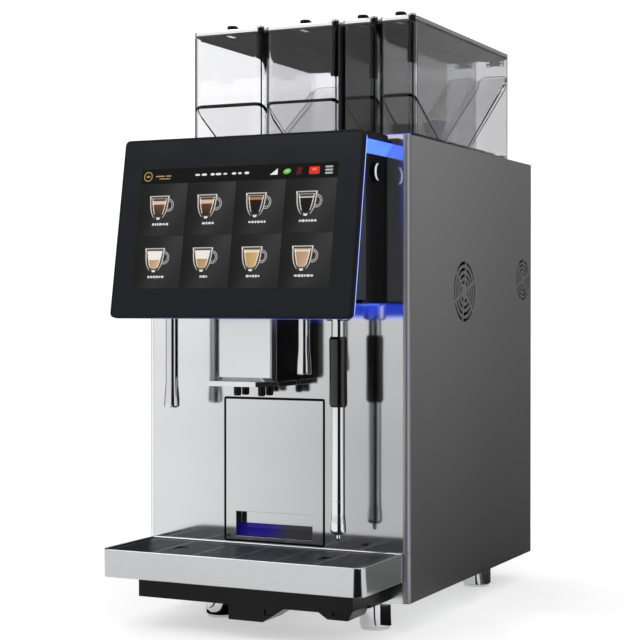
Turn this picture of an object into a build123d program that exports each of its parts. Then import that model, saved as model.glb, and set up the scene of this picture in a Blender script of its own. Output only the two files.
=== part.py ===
from build123d import *
import math
import os

# ---------------------------------------------------------------- driving dimensions (mm)
# Frame: +Z up, -Y is the front, origin under the middle of the machine at the height of its feet.
CABINET_WIDTH = 350.0
CABINET_DEPTH = 450.0
CABINET_HEIGHT = 543.0
FOOT_HEIGHT = 35.0
TRAY_REACH = 119.0          # how far the drip tray stands out in front of the front panel
SHEET = 2.0                 # thickness of every sheet metal skin
CORNER = 7.0                # square section of the rounded front corner trims
RUN = 0.4                   # free gap round anything that slides or swings
SEAT = 0.05                 # running clearance of pins and balls
LIFT_FIT = 1.0              # free gap round a lift-off spout in its hole

# cup station
TRAY_TOP = 58.0             # top of the drip tray above the cabinet floor
TRAY_DEEP = 32.0
TRAY_WALL = 2.0
TRAY_SIDE = 6.0             # tray side set in from the cabinet side
TRAY_ROUND = 13.0
GRID_SHEET = 2.5
GRID_DROP = 1.5             # grid top below the tray rim
GRID_SLOT = 3.0
GRID_PITCH = 7.0
GRID_BORDER = 9.0
GRID_COLUMNS = 6
GRID_WEB = 3.0              # half of the web between two slots of a row
RAIL_WIDE = 4.0             # rails of the tray that carry the grid
RAIL_TALL = 3.0
LIFT_CUT_X = 95.0           # finger cut-outs of the grid
LIFT_CUT = 24.0
LIFT_NOSE = 4.0             # narrow front corner left of the cut-out's middle
LIFT_LEFT = 6.0
LIFT_RIGHT = 9.0

# black housing under the tray
HOUSING_LEFT_INSET = 51.0
HOUSING_RIGHT_INSET = 23.0
HOUSING_FLOOR = 4.0         # underside above the cabinet floor
HOUSING_SETBACK = 13.0      # behind the tray front
HOUSING_WALL = 3.0
SUMP_LEFT = -4.0
SUMP_RIGHT = 40.0
SUMP_SLOPE = 27.0
SUMP_DROP = 17.0
SUMP_DEPTH = 46.0
TOE_WIDTH = 42.0
TOE_DROP = 7.0
TOE_SLOPE = 11.0
TOE_CORNER = 6.0
SUMP_HOLE_R = 9.0
LATCH_X = (2.0, 16.0)       # front latch notch beside the sump
LATCH_Z = (-9.0, -2.0)
SLIT_X = (17.0, 30.0)       # small slit above the toe
SLIT_Z = (-2.5, 1.5)
NOTCH_DEEP = 2.0

# grounds drawer
DRAWER_WIDTH = 132.0
DRAWER_LOW = 61.0           # lower edge above the cabinet floor
DRAWER_GAP = 1.6            # shadow gap round the drawer front
DRAWER_UNDER_HEAD = 3.0     # drawer top below the lowest place of the nozzles
PULL_WIDTH = 103.0
PULL_TALL = 30.0
PULL_LOW = 5.0
PULL_DEPTH = 16.0
BIN_WALL = 2.5
BIN_LENGTH = 205.0
BIN_UNDER = 37.0            # tub rim below the drawer top
BIN_SIDE = 4.0
BIN_ROUND = 8.0
HOOK_OVER_PULL = 3.0        # hook plate above the pull recess
HOOK_UNDER_RIM = 4.0
HOOK_INSET = 14.0
PULL_SLOPE_Z = 9.0          # sloped foot of the recess
PULL_SLOPE_Y = 8.0

# screen unit
SCREEN_WIDTH = 312.0
SCREEN_TALL = 213.5
SCREEN_OVER = 0.9           # top edge above the hood
SCREEN_LEAN = 9.8           # degrees, the lower edge stands further out
SCREEN_REACH = 119.0        # lower front edge in front of the panel
SCREEN_THICK = 8.0
SCREEN_ROUND = 6.0
GLASS_BORDER = 2.5
GLASS_THICK = 1.2
POD_SIDE = 10.0             # screen pod and head block set in from the screen edge
POD_BACK = 56.0             # rear of the screen pod in front of the panel
POD_PLAY = 1.5              # gap between the screen pod and the head block
POD_WALL = 2.5
POD_HEAD_SIDE = 4.0         # free width beside the spout head in the pod's recess
POD_HEAD_FRONT = 3.0
POD_HEAD_OVER = 2.0
POD_UNDER_TOP = 2.0         # pod top below the top of the head block

# head block and hood
BLOCK_TALL = 170.0
BLOCK_WALL = 3.0
BLOCK_LEDGE = 67.0          # reach of the floor ledge that carries the spouts
CHANNEL_LEFT = 25.0         # free width of the head block's channel beside the spout head
CHANNEL_RIGHT = 10.0
HOOD_DROP = 11.0            # hood underside below the cabinet roof
DIFFUSER_TALL = 14.0
HOOD_THICK = 9.0
SCREEN_TO_HOOD = 2.0        # gap between the screen's back and the hood
HOOD_BACK = 17.0
LIP_THICK = 4.0
LOCK_REACH = 29.5           # lock axis in front of the panel
LOCK_DROP = 20.0            # lock axis below the top of the head block
LOCK_RING_R = 11.5
LOCK_CORE_R = 8.0
LOCK_PROUD = 4.0

# screen hinge
HINGE_REACH = 62.0
HINGE_SIDE = 4.0            # hinge axis outside the pod side
HINGE_PIN_R = 1.6
HINGE_KNUCKLE_R = 3.4
HINGE_LEAF = 10.0
HINGE_UP = 12.0             # lower hinge above the bottom of the head block
HINGE_DOWN = 30.0           # upper hinge below its top

# spout head
HEAD_SHIFT = -1.5
HEAD_WIDTH = 69.0
HEAD_REACH = 71.0
HEAD_TALL = 92.0
HEAD_OVERLAP = 1.0          # head top above the underside of the head block
COVER_SHEET = 2.0
COVER_CHAMFER = 5.0
COVER_DEEP = 14.0
COVER_EDGE = 1.2
PLATE_THICK = 6.0
PLATE_EAR = 16.0
PLATE_PROUD = 1.0           # plate in front of the cover
PLATE_CUT = (20.0, 19.0)    # cut front corner, across and back
PLATE_BACK = 4.0
NOZZLE_R = 4.5
NOZZLE_BORE = 2.6
NOZZLE_LONG = 11.0
NOZZLE_SPREAD = 32.0
NOZZLE_ROWS = 20.0
NOZZLE_FRONT = 12.0         # front row behind the front of the head
CARRIAGE_WIDTH = 24.0
CARRIAGE_TALL = 60.0
HEAD_UP = 50.0              # travel of the spout head
HEAD_DOWN = 4.0

# fixed spouts
SPOUT_REACH = 53.0
WATER_INSET = 36.0          # spout axis inside the head block side
WATER_LONG = 124.5
WATER_R = 7.5
DRINK_INSET = 23.0          # spout axis beside the channel
DRINK_LONG = 82.0
DRINK_R = 7.0
SPOUT_FLARE = 1.8
SPOUT_BORE = 4.0
SPOUT_TAPER = 34.0          # height of the flared mouth
NUT_WALL = 4.0
NUT_TALL = 12.0

# steam wand
WAND_INSET = 36.5
WAND_REACH = 52.0
WAND_PIVOT_DROP = 15.0      # ball centre below the head block
WAND_OVER_TRAY = 18.5       # lower end above the tray rim
WAND_R = 7.8
WAND_BORE = 4.0
GRIP_WALL = 2.6
GRIP_CHAMFER = 3.0
GRIP_DROP = 23.0            # grip top below the ball centre
GRIP_LONG = 80.5
TIP_LONG = 46.0
TIP_FLARE = 1.2
BALL_RISE = 1.7             # ball radius over the tube radius
COLLAR_WALL = 4.5           # collar radius over the ball radius
COLLAR_LOW = 5.0
COLLAR_HIGH = 11.5
COLLAR_SLOT_OVER = 3.0      # top of the swing slot above the ball centre
BRACKET_RIM = 1.0           # bracket boss over the collar radius
BRACKET_HALF = 12.0
BRACKET_BACK = 14.0         # rear of the bracket in front of the panel
STEM_R = 5.0

# bean and powder hoppers
HOPPER_TALL = 135.0
HOPPER_FRONT = 18.0         # front wall behind the front panel
HOPPER_DEPTH = 340.0
HOPPER_WALL = 2.5
HOPPER_ROUND = 11.0
HOPPER_GAP = 2.4
HOPPER_RIGHT = 0.5          # right hopper inside the cabinet side
BEAN_WIDTH = 98.0
POWDER_WIDTH = 46.2
DIVIDER_SHEET = 1.6
HOPPER_LIFT = 1.0           # deck to hopper floor
FRONT_RAMP_Z = 49.0
FRONT_RAMP_Y = 80.0
REAR_RAMP_Z = 111.5
REAR_RAMP_Y = 160.0
RAMP_SHEET = 2.0
OUTLET_Y = 120.0            # outlet centre behind the hopper front
OUTLET_BORE = 26.0
OUTLET_WALL = 2.5
OUTLET_LONG = 12.0
LID_THICK = 4.5
LID_LIP = 4.0
LID_HINGE_R = 2.5
EAR_IN = 8.0                # hinge ears of a hopper beside its middle
EAR_OUT = 12.0
EAR_WALL = 1.5
KNOB_R = 6.5
KNOB_TALL = 6.0
KNOB_STEM_R = 3.0
KNOB_SET = 17.0             # knob axis behind the lid front edge
CAM_LONG = 13.0
CAM_THICK = 2.0

# vents of the right side panel, with a fan behind each
BIG_VENT_R = 38.0
BIG_VENT_BACK = 184.0       # axis behind the front panel
BIG_VENT_DROP = 53.0        # axis below the grinder shelf
SMALL_VENT_R = 28.0
SMALL_VENT_REAR = 36.0      # axis in front of the cabinet rear
SMALL_VENT_DROP = 35.0
VENT_ROWS = 4
VENT_SPOKES = 6
VENT_SPOKE = 4.0

# feet
FOOT_R = 19.0
FOOT_STUD_R = 5.0
FOOT_STUD = 10.0
FOOT_PAD = 4.0
FOOT_FRONT_RIGHT = (51.0, 21.0)     # in from the cabinet side, back from the front panel
FOOT_FRONT_LEFT = (97.0, 12.0)
FOOT_REAR = (43.0, 103.0)           # in from the cabinet side, forward from the cabinet rear

# inside
GRINDER_BAY = 127.0         # shelf below the cabinet roof
SHELF_SHEET = 3.0
TUNNEL_GAP = 3.0
TUNNEL_DEPTH = 232.0
GRINDER_R = 41.0
GRINDER_NECK_R = 20.0
BOILER_R = 52.0
BOILER_TALL = 200.0
BOILER_SPOT = (65.0, 105.0)         # in from the cabinet side, forward from the cabinet rear
BREW_WIDTH = 96.0
BREW_DEPTH = 120.0
BREW_UNDER = 21.0           # free height under the shelf
BREW_OVER = 12.0            # free height over the drawer
PUMP_SPOT = (57.0, 165.0)
FAN_DEPTH = 20.0
FAN_HUB_R = 10.0
FAN_BLADES = 7
FAN_GAP = 2.0

# rear connections
INLET_INSET = 65.0
INLET_Z = 60.0
INLET_WIDE = 28.0
INLET_TALL = 22.0
TAP_X = 20.0
TAP_Z = 60.0
TAP_R = 13.2
TAP_BORE = 7.5
DRAIN_X = 70.0
DRAIN_R = 9.0
DRAIN_BORE = 6.0
LOUVRES = 8
LOUVRE_LOW = 200.0
LOUVRE_PITCH = 16.0
LOUVRE_TALL = 5.0
LOUVRE_HALF = 45.0
LOUVRE_COLUMN = 80.0        # middle of each louvre column beside the centre line

# ---------------------------------------------------------------- worked out from them
PANEL_Y = (TRAY_REACH - CABINET_DEPTH) / 2
BACK_Y = PANEL_Y + CABINET_DEPTH
FLOOR = FOOT_HEIGHT
ROOF = FLOOR + CABINET_HEIGHT
HALF = CABINET_WIDTH / 2
INSIDE = HALF - SHEET
HOOD_LOW = CABINET_HEIGHT - HOOD_DROP
BLOCK_HIGH = HOOD_LOW - DIFFUSER_TALL
BLOCK_LOW = BLOCK_HIGH - BLOCK_TALL
LOCK_Z = BLOCK_HIGH - LOCK_DROP
SCREEN_HIGH = HOOD_LOW + HOOD_THICK + SCREEN_OVER
SCREEN_LOW = SCREEN_HIGH - SCREEN_TALL * math.cos(math.radians(SCREEN_LEAN))
HEAD_HIGH = BLOCK_LOW + HEAD_OVERLAP
HEAD_LOW = HEAD_HIGH - HEAD_TALL
HEAD_X = (HEAD_SHIFT - HEAD_WIDTH / 2, HEAD_SHIFT + HEAD_WIDTH / 2)
CHANNEL_X = (HEAD_X[0] - CHANNEL_LEFT, HEAD_X[1] + CHANNEL_RIGHT)
NOZZLE_LOW = HEAD_LOW - PLATE_THICK - NOZZLE_LONG
DRAWER_HALF = DRAWER_WIDTH / 2
DRAWER_HIGH = NOZZLE_LOW - HEAD_DOWN - DRAWER_UNDER_HEAD
BIN_HIGH = DRAWER_HIGH - BIN_UNDER
PULL_Z = (DRAWER_LOW + PULL_LOW, DRAWER_LOW + PULL_LOW + PULL_TALL)
SHELF_Z = CABINET_HEIGHT - GRINDER_BAY
BIG_VENT = (BIG_VENT_BACK, SHELF_Z - BIG_VENT_DROP, BIG_VENT_R)
SMALL_VENT = (CABINET_DEPTH - SMALL_VENT_REAR, SHELF_Z - SMALL_VENT_DROP, SMALL_VENT_R)
FOOT_SPOTS = (
    (HALF - FOOT_FRONT_RIGHT[0], FOOT_FRONT_RIGHT[1]),
    (FOOT_FRONT_LEFT[0] - HALF, FOOT_FRONT_LEFT[1]),
    (HALF - FOOT_REAR[0], CABINET_DEPTH - FOOT_REAR[1]),
    (FOOT_REAR[0] - HALF, CABINET_DEPTH - FOOT_REAR[1]),
)
INLET_X = INLET_INSET - HALF
HOUSING_LEFT = HOUSING_LEFT_INSET - HALF
HOUSING_RIGHT = HALF - HOUSING_RIGHT_INSET
POD_HALF = SCREEN_WIDTH / 2 - POD_SIDE
HINGE_X = -(POD_HALF + HINGE_SIDE)
WATER_X = WATER_INSET - POD_HALF
DRINK_X = CHANNEL_X[1] + DRINK_INSET
WAND_X = POD_HALF - WAND_INSET
WAND_PIVOT_Z = BLOCK_LOW - WAND_PIVOT_DROP
WAND_LOW = TRAY_TOP + WAND_OVER_TRAY
GRIP_R = WAND_R + GRIP_WALL
TIP_R = WAND_R + TIP_FLARE
BALL_R = WAND_R + BALL_RISE
COLLAR_R = BALL_R + COLLAR_WALL
GRIP_HIGH = WAND_PIVOT_Z - GRIP_DROP
GRIP_LOW = GRIP_HIGH - GRIP_LONG
LEAN = math.tan(math.radians(SCREEN_LEAN))
LEAN_DEEP = SCREEN_THICK / math.cos(math.radians(SCREEN_LEAN))
HOOD_FRONT = SCREEN_REACH - (SCREEN_HIGH - SCREEN_LOW) * LEAN - LEAN_DEEP - SCREEN_TO_HOOD


def block(x, y, z):
    """Box between two corners; y is measured back from the front panel, z up from the floor."""
    size = Box(x[1] - x[0], y[1] - y[0], z[1] - z[0])
    middle = Pos((x[0] + x[1]) / 2, PANEL_Y + (y[0] + y[1]) / 2, FLOOR + (z[0] + z[1]) / 2)
    return middle * size


def upright(x, y, z, radius):
    """Vertical cylinder on the axis (x, y) between two heights above the cabinet floor."""
    tall = z[1] - z[0]
    return Pos(x, PANEL_Y + y, FLOOR + (z[0] + z[1]) / 2) * Cylinder(radius, tall)


def across(x, y, z, radius):
    """Cylinder along X between x[0] and x[1]."""
    return Pos((x[0] + x[1]) / 2, PANEL_Y + y, FLOOR + z) * Rot(0, 90, 0) * Cylinder(radius, x[1] - x[0])


def along(x, y, z, radius):
    """Cylinder along Y between y[0] and y[1]."""
    return Pos(x, PANEL_Y + (y[0] + y[1]) / 2, FLOOR + z) * Rot(90, 0, 0) * Cylinder(radius, y[1] - y[0])


def side_profile(points, x):
    """Prism between two X values from an outline of (y, z) points, in the same measures as block."""
    wire = [(PANEL_Y + y, FLOOR + z) for y, z in points]
    face = make_face(Polyline(*wire, close=True))
    return Pos(x[0], 0, 0) * extrude(Plane.YZ * face, x[1] - x[0])


def plan_profile(points, z):
    """Prism between two heights from an outline of (x, y) points."""
    wire = [(x, PANEL_Y + y) for x, y in points]
    face = make_face(Polyline(*wire, close=True))
    return Pos(0, 0, FLOOR + z[0]) * extrude(Plane.XY * face, z[1] - z[0])


def front_profile(points, y):
    """Prism between two depths from an outline of (x, z) points."""
    wire = [(x, FLOOR + z) for x, z in points]
    face = make_face(Polyline(*wire, close=True))
    return Pos(0, PANEL_Y + y[1], 0) * extrude(Plane.XZ * face, y[1] - y[0])


def turned(x, y, points):
    """Solid of revolution about a vertical axis from (radius, height) points."""
    face = make_face(Polyline(*[(r, h) for r, h in points], close=True))
    return Pos(x, PANEL_Y + y, FLOOR) * revolve(Plane.XZ * face, Axis.Z)


def round_uprights(solid, radius):
    return fillet(solid.edges().filter_by(Axis.Z), radius)


# ---------------------------------------------------------------- cabinet skins
def vent_cut(vent):
    """Rings of curved slots with plain spokes between them, cut through the right side panel."""
    y, z, radius = vent
    slot = radius / (2 * VENT_ROWS + 1.6)
    cut = None
    for row in range(VENT_ROWS):
        outer = radius - 2 * row * slot
        ring = across((INSIDE - 1, HALF + 1), y, z, outer)
        ring -= across((INSIDE - 2, HALF + 2), y, z, outer - slot)
        cut = ring if cut is None else cut + ring
    for turn in range(VENT_SPOKES // 2):
        spoke = Box(HALF, 2 * radius + 2, VENT_SPOKE)
        cut -= Pos(HALF, PANEL_Y + y, FLOOR + z) * Rot(180 * turn / (VENT_SPOKES / 2) + 20, 0, 0) * spoke
    return cut


def side_panel(side):
    low, high = sorted((side * INSIDE, side * HALF))
    panel = block((low, high), (CORNER, CABINET_DEPTH), (0, CABINET_HEIGHT))
    if side > 0:
        panel -= vent_cut(BIG_VENT)
        panel -= vent_cut(SMALL_VENT)
    return panel


def corner_trims():
    """Rounded steel edges of the front, each in a short lower and a long upper length."""
    trims = []
    for side in (-1, 1):
        for z in ((0, TRAY_TOP - RUN), (TRAY_TOP, CABINET_HEIGHT)):
            x = sorted((side * (HALF - CORNER), side * HALF))
            trim = block(x, (0, CORNER), z)
            edges = trim.edges().filter_by(Axis.Z).sort_by(Axis.Y)[:2]
            outer = edges.sort_by(Axis.X)[-1 if side > 0 else 0]
            trims.append(fillet(outer, CORNER - 0.5))
    return Compound(trims)


def front_panel():
    panel = block((-HALF + CORNER, HALF - CORNER), (0, SHEET), (TRAY_TOP, CABINET_HEIGHT))
    gap = DRAWER_GAP
    panel -= block(
        (-DRAWER_HALF - gap, DRAWER_HALF + gap),
        (-1, SHEET + 1),
        (DRAWER_LOW - gap, DRAWER_HIGH + gap),
    )
    slot = CARRIAGE_WIDTH / 2 + RUN
    top = HEAD_HIGH + HEAD_UP + RUN
    bottom = top - CARRIAGE_TALL - HEAD_UP - HEAD_DOWN - 2 * RUN
    panel -= block((HEAD_SHIFT - slot, HEAD_SHIFT + slot), (-1, SHEET + 1), (bottom, top))
    return panel


def lower_front_plate():
    return block((-HALF + CORNER, HALF - CORNER), (0, SHEET), (0, TRAY_TOP))


def base_plate():
    plate = block((-INSIDE, INSIDE), (CORNER, CABINET_DEPTH - SHEET), (0, SHEET))
    plate += block((-HALF + CORNER, HALF - CORNER), (SHEET, CORNER), (0, SHEET))
    for x, y in FOOT_SPOTS:
        plate -= upright(x, y, (-1, SHEET + 1), FOOT_STUD_R)
    return plate


def hopper_spans():
    """Left and right X of each hopper, two for beans and two for powder, with the divider between."""
    spans = []
    x = HALF - HOPPER_RIGHT - 2 * (BEAN_WIDTH + POWDER_WIDTH) - 3 * HOPPER_GAP - DIVIDER_SHEET
    for width in (BEAN_WIDTH, BEAN_WIDTH, POWDER_WIDTH, POWDER_WIDTH):
        if len(spans) == 2:
            x += DIVIDER_SHEET
        spans.append((x, x + width))
        x += width + HOPPER_GAP
    return spans


def outlet_y():
    return HOPPER_FRONT + OUTLET_Y


def top_deck():
    deck = block((-INSIDE, INSIDE), (CORNER, CABINET_DEPTH - SHEET), (CABINET_HEIGHT - SHEET, CABINET_HEIGHT))
    deck += block(
        (-HALF + CORNER, HALF - CORNER), (SHEET, CORNER), (CABINET_HEIGHT - SHEET, CABINET_HEIGHT)
    )
    hole = OUTLET_BORE / 2 + OUTLET_WALL + LIFT_FIT
    for x in hopper_spans():
        middle = (x[0] + x[1]) / 2
        deck -= upright(middle, outlet_y(), (CABINET_HEIGHT - SHEET - 1, CABINET_HEIGHT + 1), hole)
    return deck


def rear_panel():
    panel = block((-INSIDE, INSIDE), (CABINET_DEPTH - SHEET, CABINET_DEPTH), (SHEET, CABINET_HEIGHT - SHEET))
    through = (CABINET_DEPTH - SHEET - 1, CABINET_DEPTH + 1)
    panel -= block(
        (INLET_X - INLET_WIDE / 2, INLET_X + INLET_WIDE / 2),
        through,
        (INLET_Z - INLET_TALL / 2, INLET_Z + INLET_TALL / 2),
    )
    panel -= along(TAP_X, through, TAP_Z, TAP_R)
    panel -= along(DRAIN_X, through, TAP_Z, DRAIN_R)
    for column in (-1, 1):
        for row in range(LOUVRES):
            z = LOUVRE_LOW + LOUVRE_PITCH * row
            x = (column * LOUVRE_COLUMN - LOUVRE_HALF, column * LOUVRE_COLUMN + LOUVRE_HALF)
            panel -= block(x, through, (z, z + LOUVRE_TALL))
    return panel


def feet():
    """Threaded levelling feet: a polished barrel on a rubber pad, with the stud up through the floor."""
    out = []
    for x, y in FOOT_SPOTS:
        foot = turned(x, y, (
            (0, -FOOT_HEIGHT),
            (FOOT_R - 1.5, -FOOT_HEIGHT),
            (FOOT_R - 1.5, -FOOT_HEIGHT + FOOT_PAD - 1),
            (FOOT_R, -FOOT_HEIGHT + FOOT_PAD),
            (FOOT_R, -1),
            (FOOT_R - 1, 0),
            (FOOT_STUD_R, 0),
            (FOOT_STUD_R, FOOT_STUD),
            (0, FOOT_STUD),
        ))
        out.append(foot)
    return Compound(out)


# ---------------------------------------------------------------- cup station
def drip_tray():
    x = HALF - TRAY_SIDE
    low, high = TRAY_TOP - TRAY_DEEP, TRAY_TOP
    tray = block((-x, x), (-TRAY_REACH, -RUN), (low, high))
    front = tray.edges().filter_by(Axis.Z).group_by(Axis.Y)[0]
    tray = fillet(front, TRAY_ROUND)
    wall = TRAY_WALL
    basin = block((-x + wall, x - wall), (-TRAY_REACH + wall, -RUN - wall), (low + wall, high + 1))
    front = basin.edges().filter_by(Axis.Z).group_by(Axis.Y)[0]
    tray -= fillet(front, TRAY_ROUND - wall)
    ledge = GRID_DROP + GRID_SHEET
    for side in (-1, 1):
        rail = sorted((side * (x - wall), side * (x - wall - RAIL_WIDE)))
        rail_z = (high - ledge - RAIL_TALL, high - ledge)
        tray += block(rail, (-TRAY_REACH + TRAY_ROUND, -RUN - wall), rail_z)
    return tray


def lift_cut(x):
    """Triangular finger opening of the grid."""
    y = -TRAY_REACH / 2 - 2
    half = LIFT_CUT / 2
    points = ((x - LIFT_NOSE, y - half), (x + LIFT_RIGHT, y + half), (x - LIFT_LEFT, y + half))
    return plan_profile(points, (TRAY_TOP - 9, TRAY_TOP + 1))


def drip_grid():
    """Slotted sheet that lies on the tray's rails, with a turned-down front edge."""
    x = HALF - TRAY_SIDE - TRAY_WALL - RUN
    front, back = -TRAY_REACH + TRAY_WALL + RUN, -RUN - TRAY_WALL - RUN
    top = TRAY_TOP - GRID_DROP
    grid = block((-x, x), (front, back), (top - GRID_SHEET, top))
    corners = grid.edges().filter_by(Axis.Z).group_by(Axis.Y)[0]
    grid = fillet(corners, TRAY_ROUND - TRAY_WALL)
    rows = int((back - front - 2 * GRID_BORDER) / GRID_PITCH) + 1
    start = (front + back - (rows - 1) * GRID_PITCH) / 2
    cell = (2 * x - 2 * GRID_BORDER) / GRID_COLUMNS
    slots = []
    for row in range(rows):
        for column in range(GRID_COLUMNS):
            middle = -x + GRID_BORDER + cell * (column + 0.5)
            half = cell / 2 - GRID_WEB
            y = start + row * GRID_PITCH
            slots.append(block(
                (middle - half, middle + half), (y - GRID_SLOT / 2, y + GRID_SLOT / 2), (top - 5, top + 1)
            ))
    grid -= slots
    for cut in (-LIFT_CUT_X, LIFT_CUT_X):
        grid -= lift_cut(cut)
    return grid


def lower_housing():
    """Black moulded shelf that carries the tray, with a drain sump and a toe at the right."""
    top = TRAY_TOP - TRAY_DEEP - RUN
    low = HOUSING_FLOOR
    front = -TRAY_REACH + HOUSING_SETBACK
    toe = HOUSING_RIGHT - TOE_WIDTH
    outline = (
        (HOUSING_LEFT, top), (HOUSING_LEFT, low), (SUMP_LEFT, low), (SUMP_LEFT, low - SUMP_DROP),
        (SUMP_RIGHT, low - SUMP_DROP), (SUMP_RIGHT + SUMP_SLOPE, low), (toe, low),
        (toe + TOE_SLOPE, low - TOE_DROP), (HOUSING_RIGHT - TOE_CORNER, low - TOE_DROP),
        (HOUSING_RIGHT, low + 4), (HOUSING_RIGHT, top),
    )
    body = front_profile(outline, (front, front + SUMP_DEPTH))
    rest = (
        (HOUSING_LEFT, top), (HOUSING_LEFT, low), (HOUSING_RIGHT, low), (HOUSING_RIGHT, top),
    )
    body += front_profile(rest, (front + SUMP_DEPTH, -RUN))
    wall = HOUSING_WALL
    body -= block(
        (HOUSING_LEFT + wall, HOUSING_RIGHT - wall),
        (front + wall, -RUN - wall),
        (low + wall, top - wall),
    )
    body -= block((SUMP_LEFT + wall, SUMP_RIGHT), (front + wall, front + SUMP_DEPTH - wall),
                  (low - SUMP_DROP + wall, low + wall + 1))
    for x, z, start in ((LATCH_X, LATCH_Z, SUMP_RIGHT), (SLIT_X, SLIT_Z, toe)):
        span = (start + x[0], start + x[1])
        body -= block(span, (front - 1, front + NOTCH_DEEP), (low + z[0], low + z[1]))
    body -= upright(SUMP_RIGHT / 2, front + SUMP_DEPTH / 2, (top - wall - 1, top + 1), SUMP_HOLE_R)
    return body


# ---------------------------------------------------------------- grounds drawer
def drawer_front():
    low = DRAWER_LOW
    front = block((-DRAWER_HALF, DRAWER_HALF), (0, SHEET), (low, DRAWER_HIGH))
    x = PULL_WIDTH / 2
    z = PULL_Z
    wall = SHEET
    front += block((-x - wall, x + wall), (SHEET, PULL_DEPTH), (z[0] - wall, z[1] + wall))
    back = PULL_DEPTH - wall
    recess = ((-1, z[0]), (-1, z[1]), (back, z[1]), (back, z[0] + PULL_SLOPE_Z), (back - PULL_SLOPE_Y, z[0]))
    front -= side_profile(recess, (-x, x))
    return front


def grounds_bin():
    """Open black tub behind the drawer front."""
    x = DRAWER_HALF - BIN_SIDE
    low = DRAWER_LOW + SHEET + 1
    y = (PULL_DEPTH + RUN, PULL_DEPTH + RUN + BIN_LENGTH)
    tub = round_uprights(block((-x, x), y, (low, BIN_HIGH)), BIN_ROUND)
    wall = BIN_WALL
    inside = block((-x + wall, x - wall), (y[0] + wall, y[1] - wall), (low + wall, BIN_HIGH + 1))
    tub -= round_uprights(inside, BIN_ROUND - wall)
    hook_z = (PULL_Z[1] + HOOK_OVER_PULL, BIN_HIGH - HOOK_UNDER_RIM)
    tub += block((-x + HOOK_INSET, x - HOOK_INSET), (SHEET, y[0] + wall), hook_z)
    return tub


# ---------------------------------------------------------------- screen unit
def lean_y(z):
    """Distance in front of the panel of the leaning screen face at a height."""
    return -SCREEN_REACH + (z - SCREEN_LOW) * LEAN


def leaning_slab(width, z, depth, radius):
    """Rounded slab in the screen's plane; depth is (front, back) behind the screen face."""
    lean = math.radians(SCREEN_LEAN)
    tall = (z[1] - z[0]) / math.cos(lean)
    middle = (z[0] + z[1]) / 2
    plane = Plane(
        origin=(0, PANEL_Y + lean_y(middle), FLOOR + middle),
        x_dir=(1, 0, 0),
        z_dir=(0, -math.cos(lean), math.sin(lean)),
    )
    slab = extrude(plane * RectangleRounded(width, tall, radius), -(depth[1] - depth[0]))
    shift = Vector(0, math.cos(lean), -math.sin(lean)) * depth[0]
    return Pos(shift) * slab


def screen_bezel():
    """Leaning frame plate with a shallow pocket for the glass."""
    z = (SCREEN_LOW, SCREEN_HIGH)
    plate = leaning_slab(SCREEN_WIDTH, z, (0, SCREEN_THICK), SCREEN_ROUND)
    plate = chamfer(plate.faces().sort_by(Axis.Y)[0].edges(), 0.8)
    inset = GLASS_BORDER
    glass_z = (z[0] + inset, z[1] - inset)
    plate -= leaning_slab(SCREEN_WIDTH - 2 * inset, glass_z, (-1, GLASS_THICK), SCREEN_ROUND - inset)
    return plate


def display_glass():
    inset = GLASS_BORDER + 0.1
    z = (SCREEN_LOW + inset, SCREEN_HIGH - inset)
    return leaning_slab(SCREEN_WIDTH - 2 * inset, z, (0, GLASS_THICK), SCREEN_ROUND - inset)


def pod_outline(inset):
    low, high = BLOCK_LOW + BLOCK_WALL + POD_PLAY / 2 + inset, BLOCK_HIGH - POD_UNDER_TOP - inset
    back = -POD_BACK - inset
    front = LEAN_DEEP + inset
    return ((lean_y(low) + front, low), (back, low), (back, high), (lean_y(high) + front, high))


def screen_pod():
    """Wedge housing behind the screen, hollow for the display electronics, with two hinge lugs."""
    pod = side_profile(pod_outline(0), (-POD_HALF, POD_HALF))
    pod -= side_profile(pod_outline(POD_WALL), (-POD_HALF + POD_WALL, POD_HALF - POD_WALL))
    recess_top = HEAD_HIGH + HEAD_UP + POD_HEAD_OVER
    recess_x = (HEAD_X[0] - POD_HEAD_SIDE, HEAD_X[1] + POD_HEAD_SIDE)
    recess_y = -HEAD_REACH - POD_HEAD_FRONT
    pod += block(
        (recess_x[0] - POD_WALL, recess_x[1] + POD_WALL),
        (recess_y - POD_WALL, -POD_BACK),
        (BLOCK_LOW + BLOCK_WALL + POD_PLAY / 2, recess_top + POD_WALL),
    )
    pod -= block(recess_x, (recess_y, 0), (BLOCK_LOW, recess_top))
    for z in hinge_heights():
        y = (-HINGE_REACH - HINGE_KNUCKLE_R, -HINGE_REACH + HINGE_KNUCKLE_R)
        lug_z = (z + HINGE_LEAF / 2 + RUN / 2, z + HINGE_LEAF)
        lug = block((HINGE_X, -POD_HALF), y, lug_z) + upright(HINGE_X, -HINGE_REACH, lug_z, HINGE_KNUCKLE_R)
        pod += lug - upright(HINGE_X, -HINGE_REACH, (z, z + 2 * HINGE_LEAF), HINGE_PIN_R + SEAT)
    return pod


def hinge_heights():
    return (BLOCK_LOW + HINGE_UP, BLOCK_HIGH - HINGE_DOWN)


def screen_hinge():
    """Two fixed hinge arms on the head block's left side, each with its pin."""
    out = []
    for z in hinge_heights():
        arm_z = (z - HINGE_LEAF / 2, z + HINGE_LEAF / 2)
        arm = upright(HINGE_X, -HINGE_REACH, arm_z, HINGE_KNUCKLE_R)
        arm += block((HINGE_X - HINGE_KNUCKLE_R + 1, -POD_HALF - 0.6), (-HINGE_REACH, -44), arm_z)
        arm += block((HINGE_X, -POD_HALF), (-POD_BACK + 8, -24), arm_z)
        arm += upright(HINGE_X, -HINGE_REACH, (arm_z[0], z + HINGE_LEAF - 0.5), HINGE_PIN_R)
        out.append(arm)
    return Compound(out)


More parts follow.
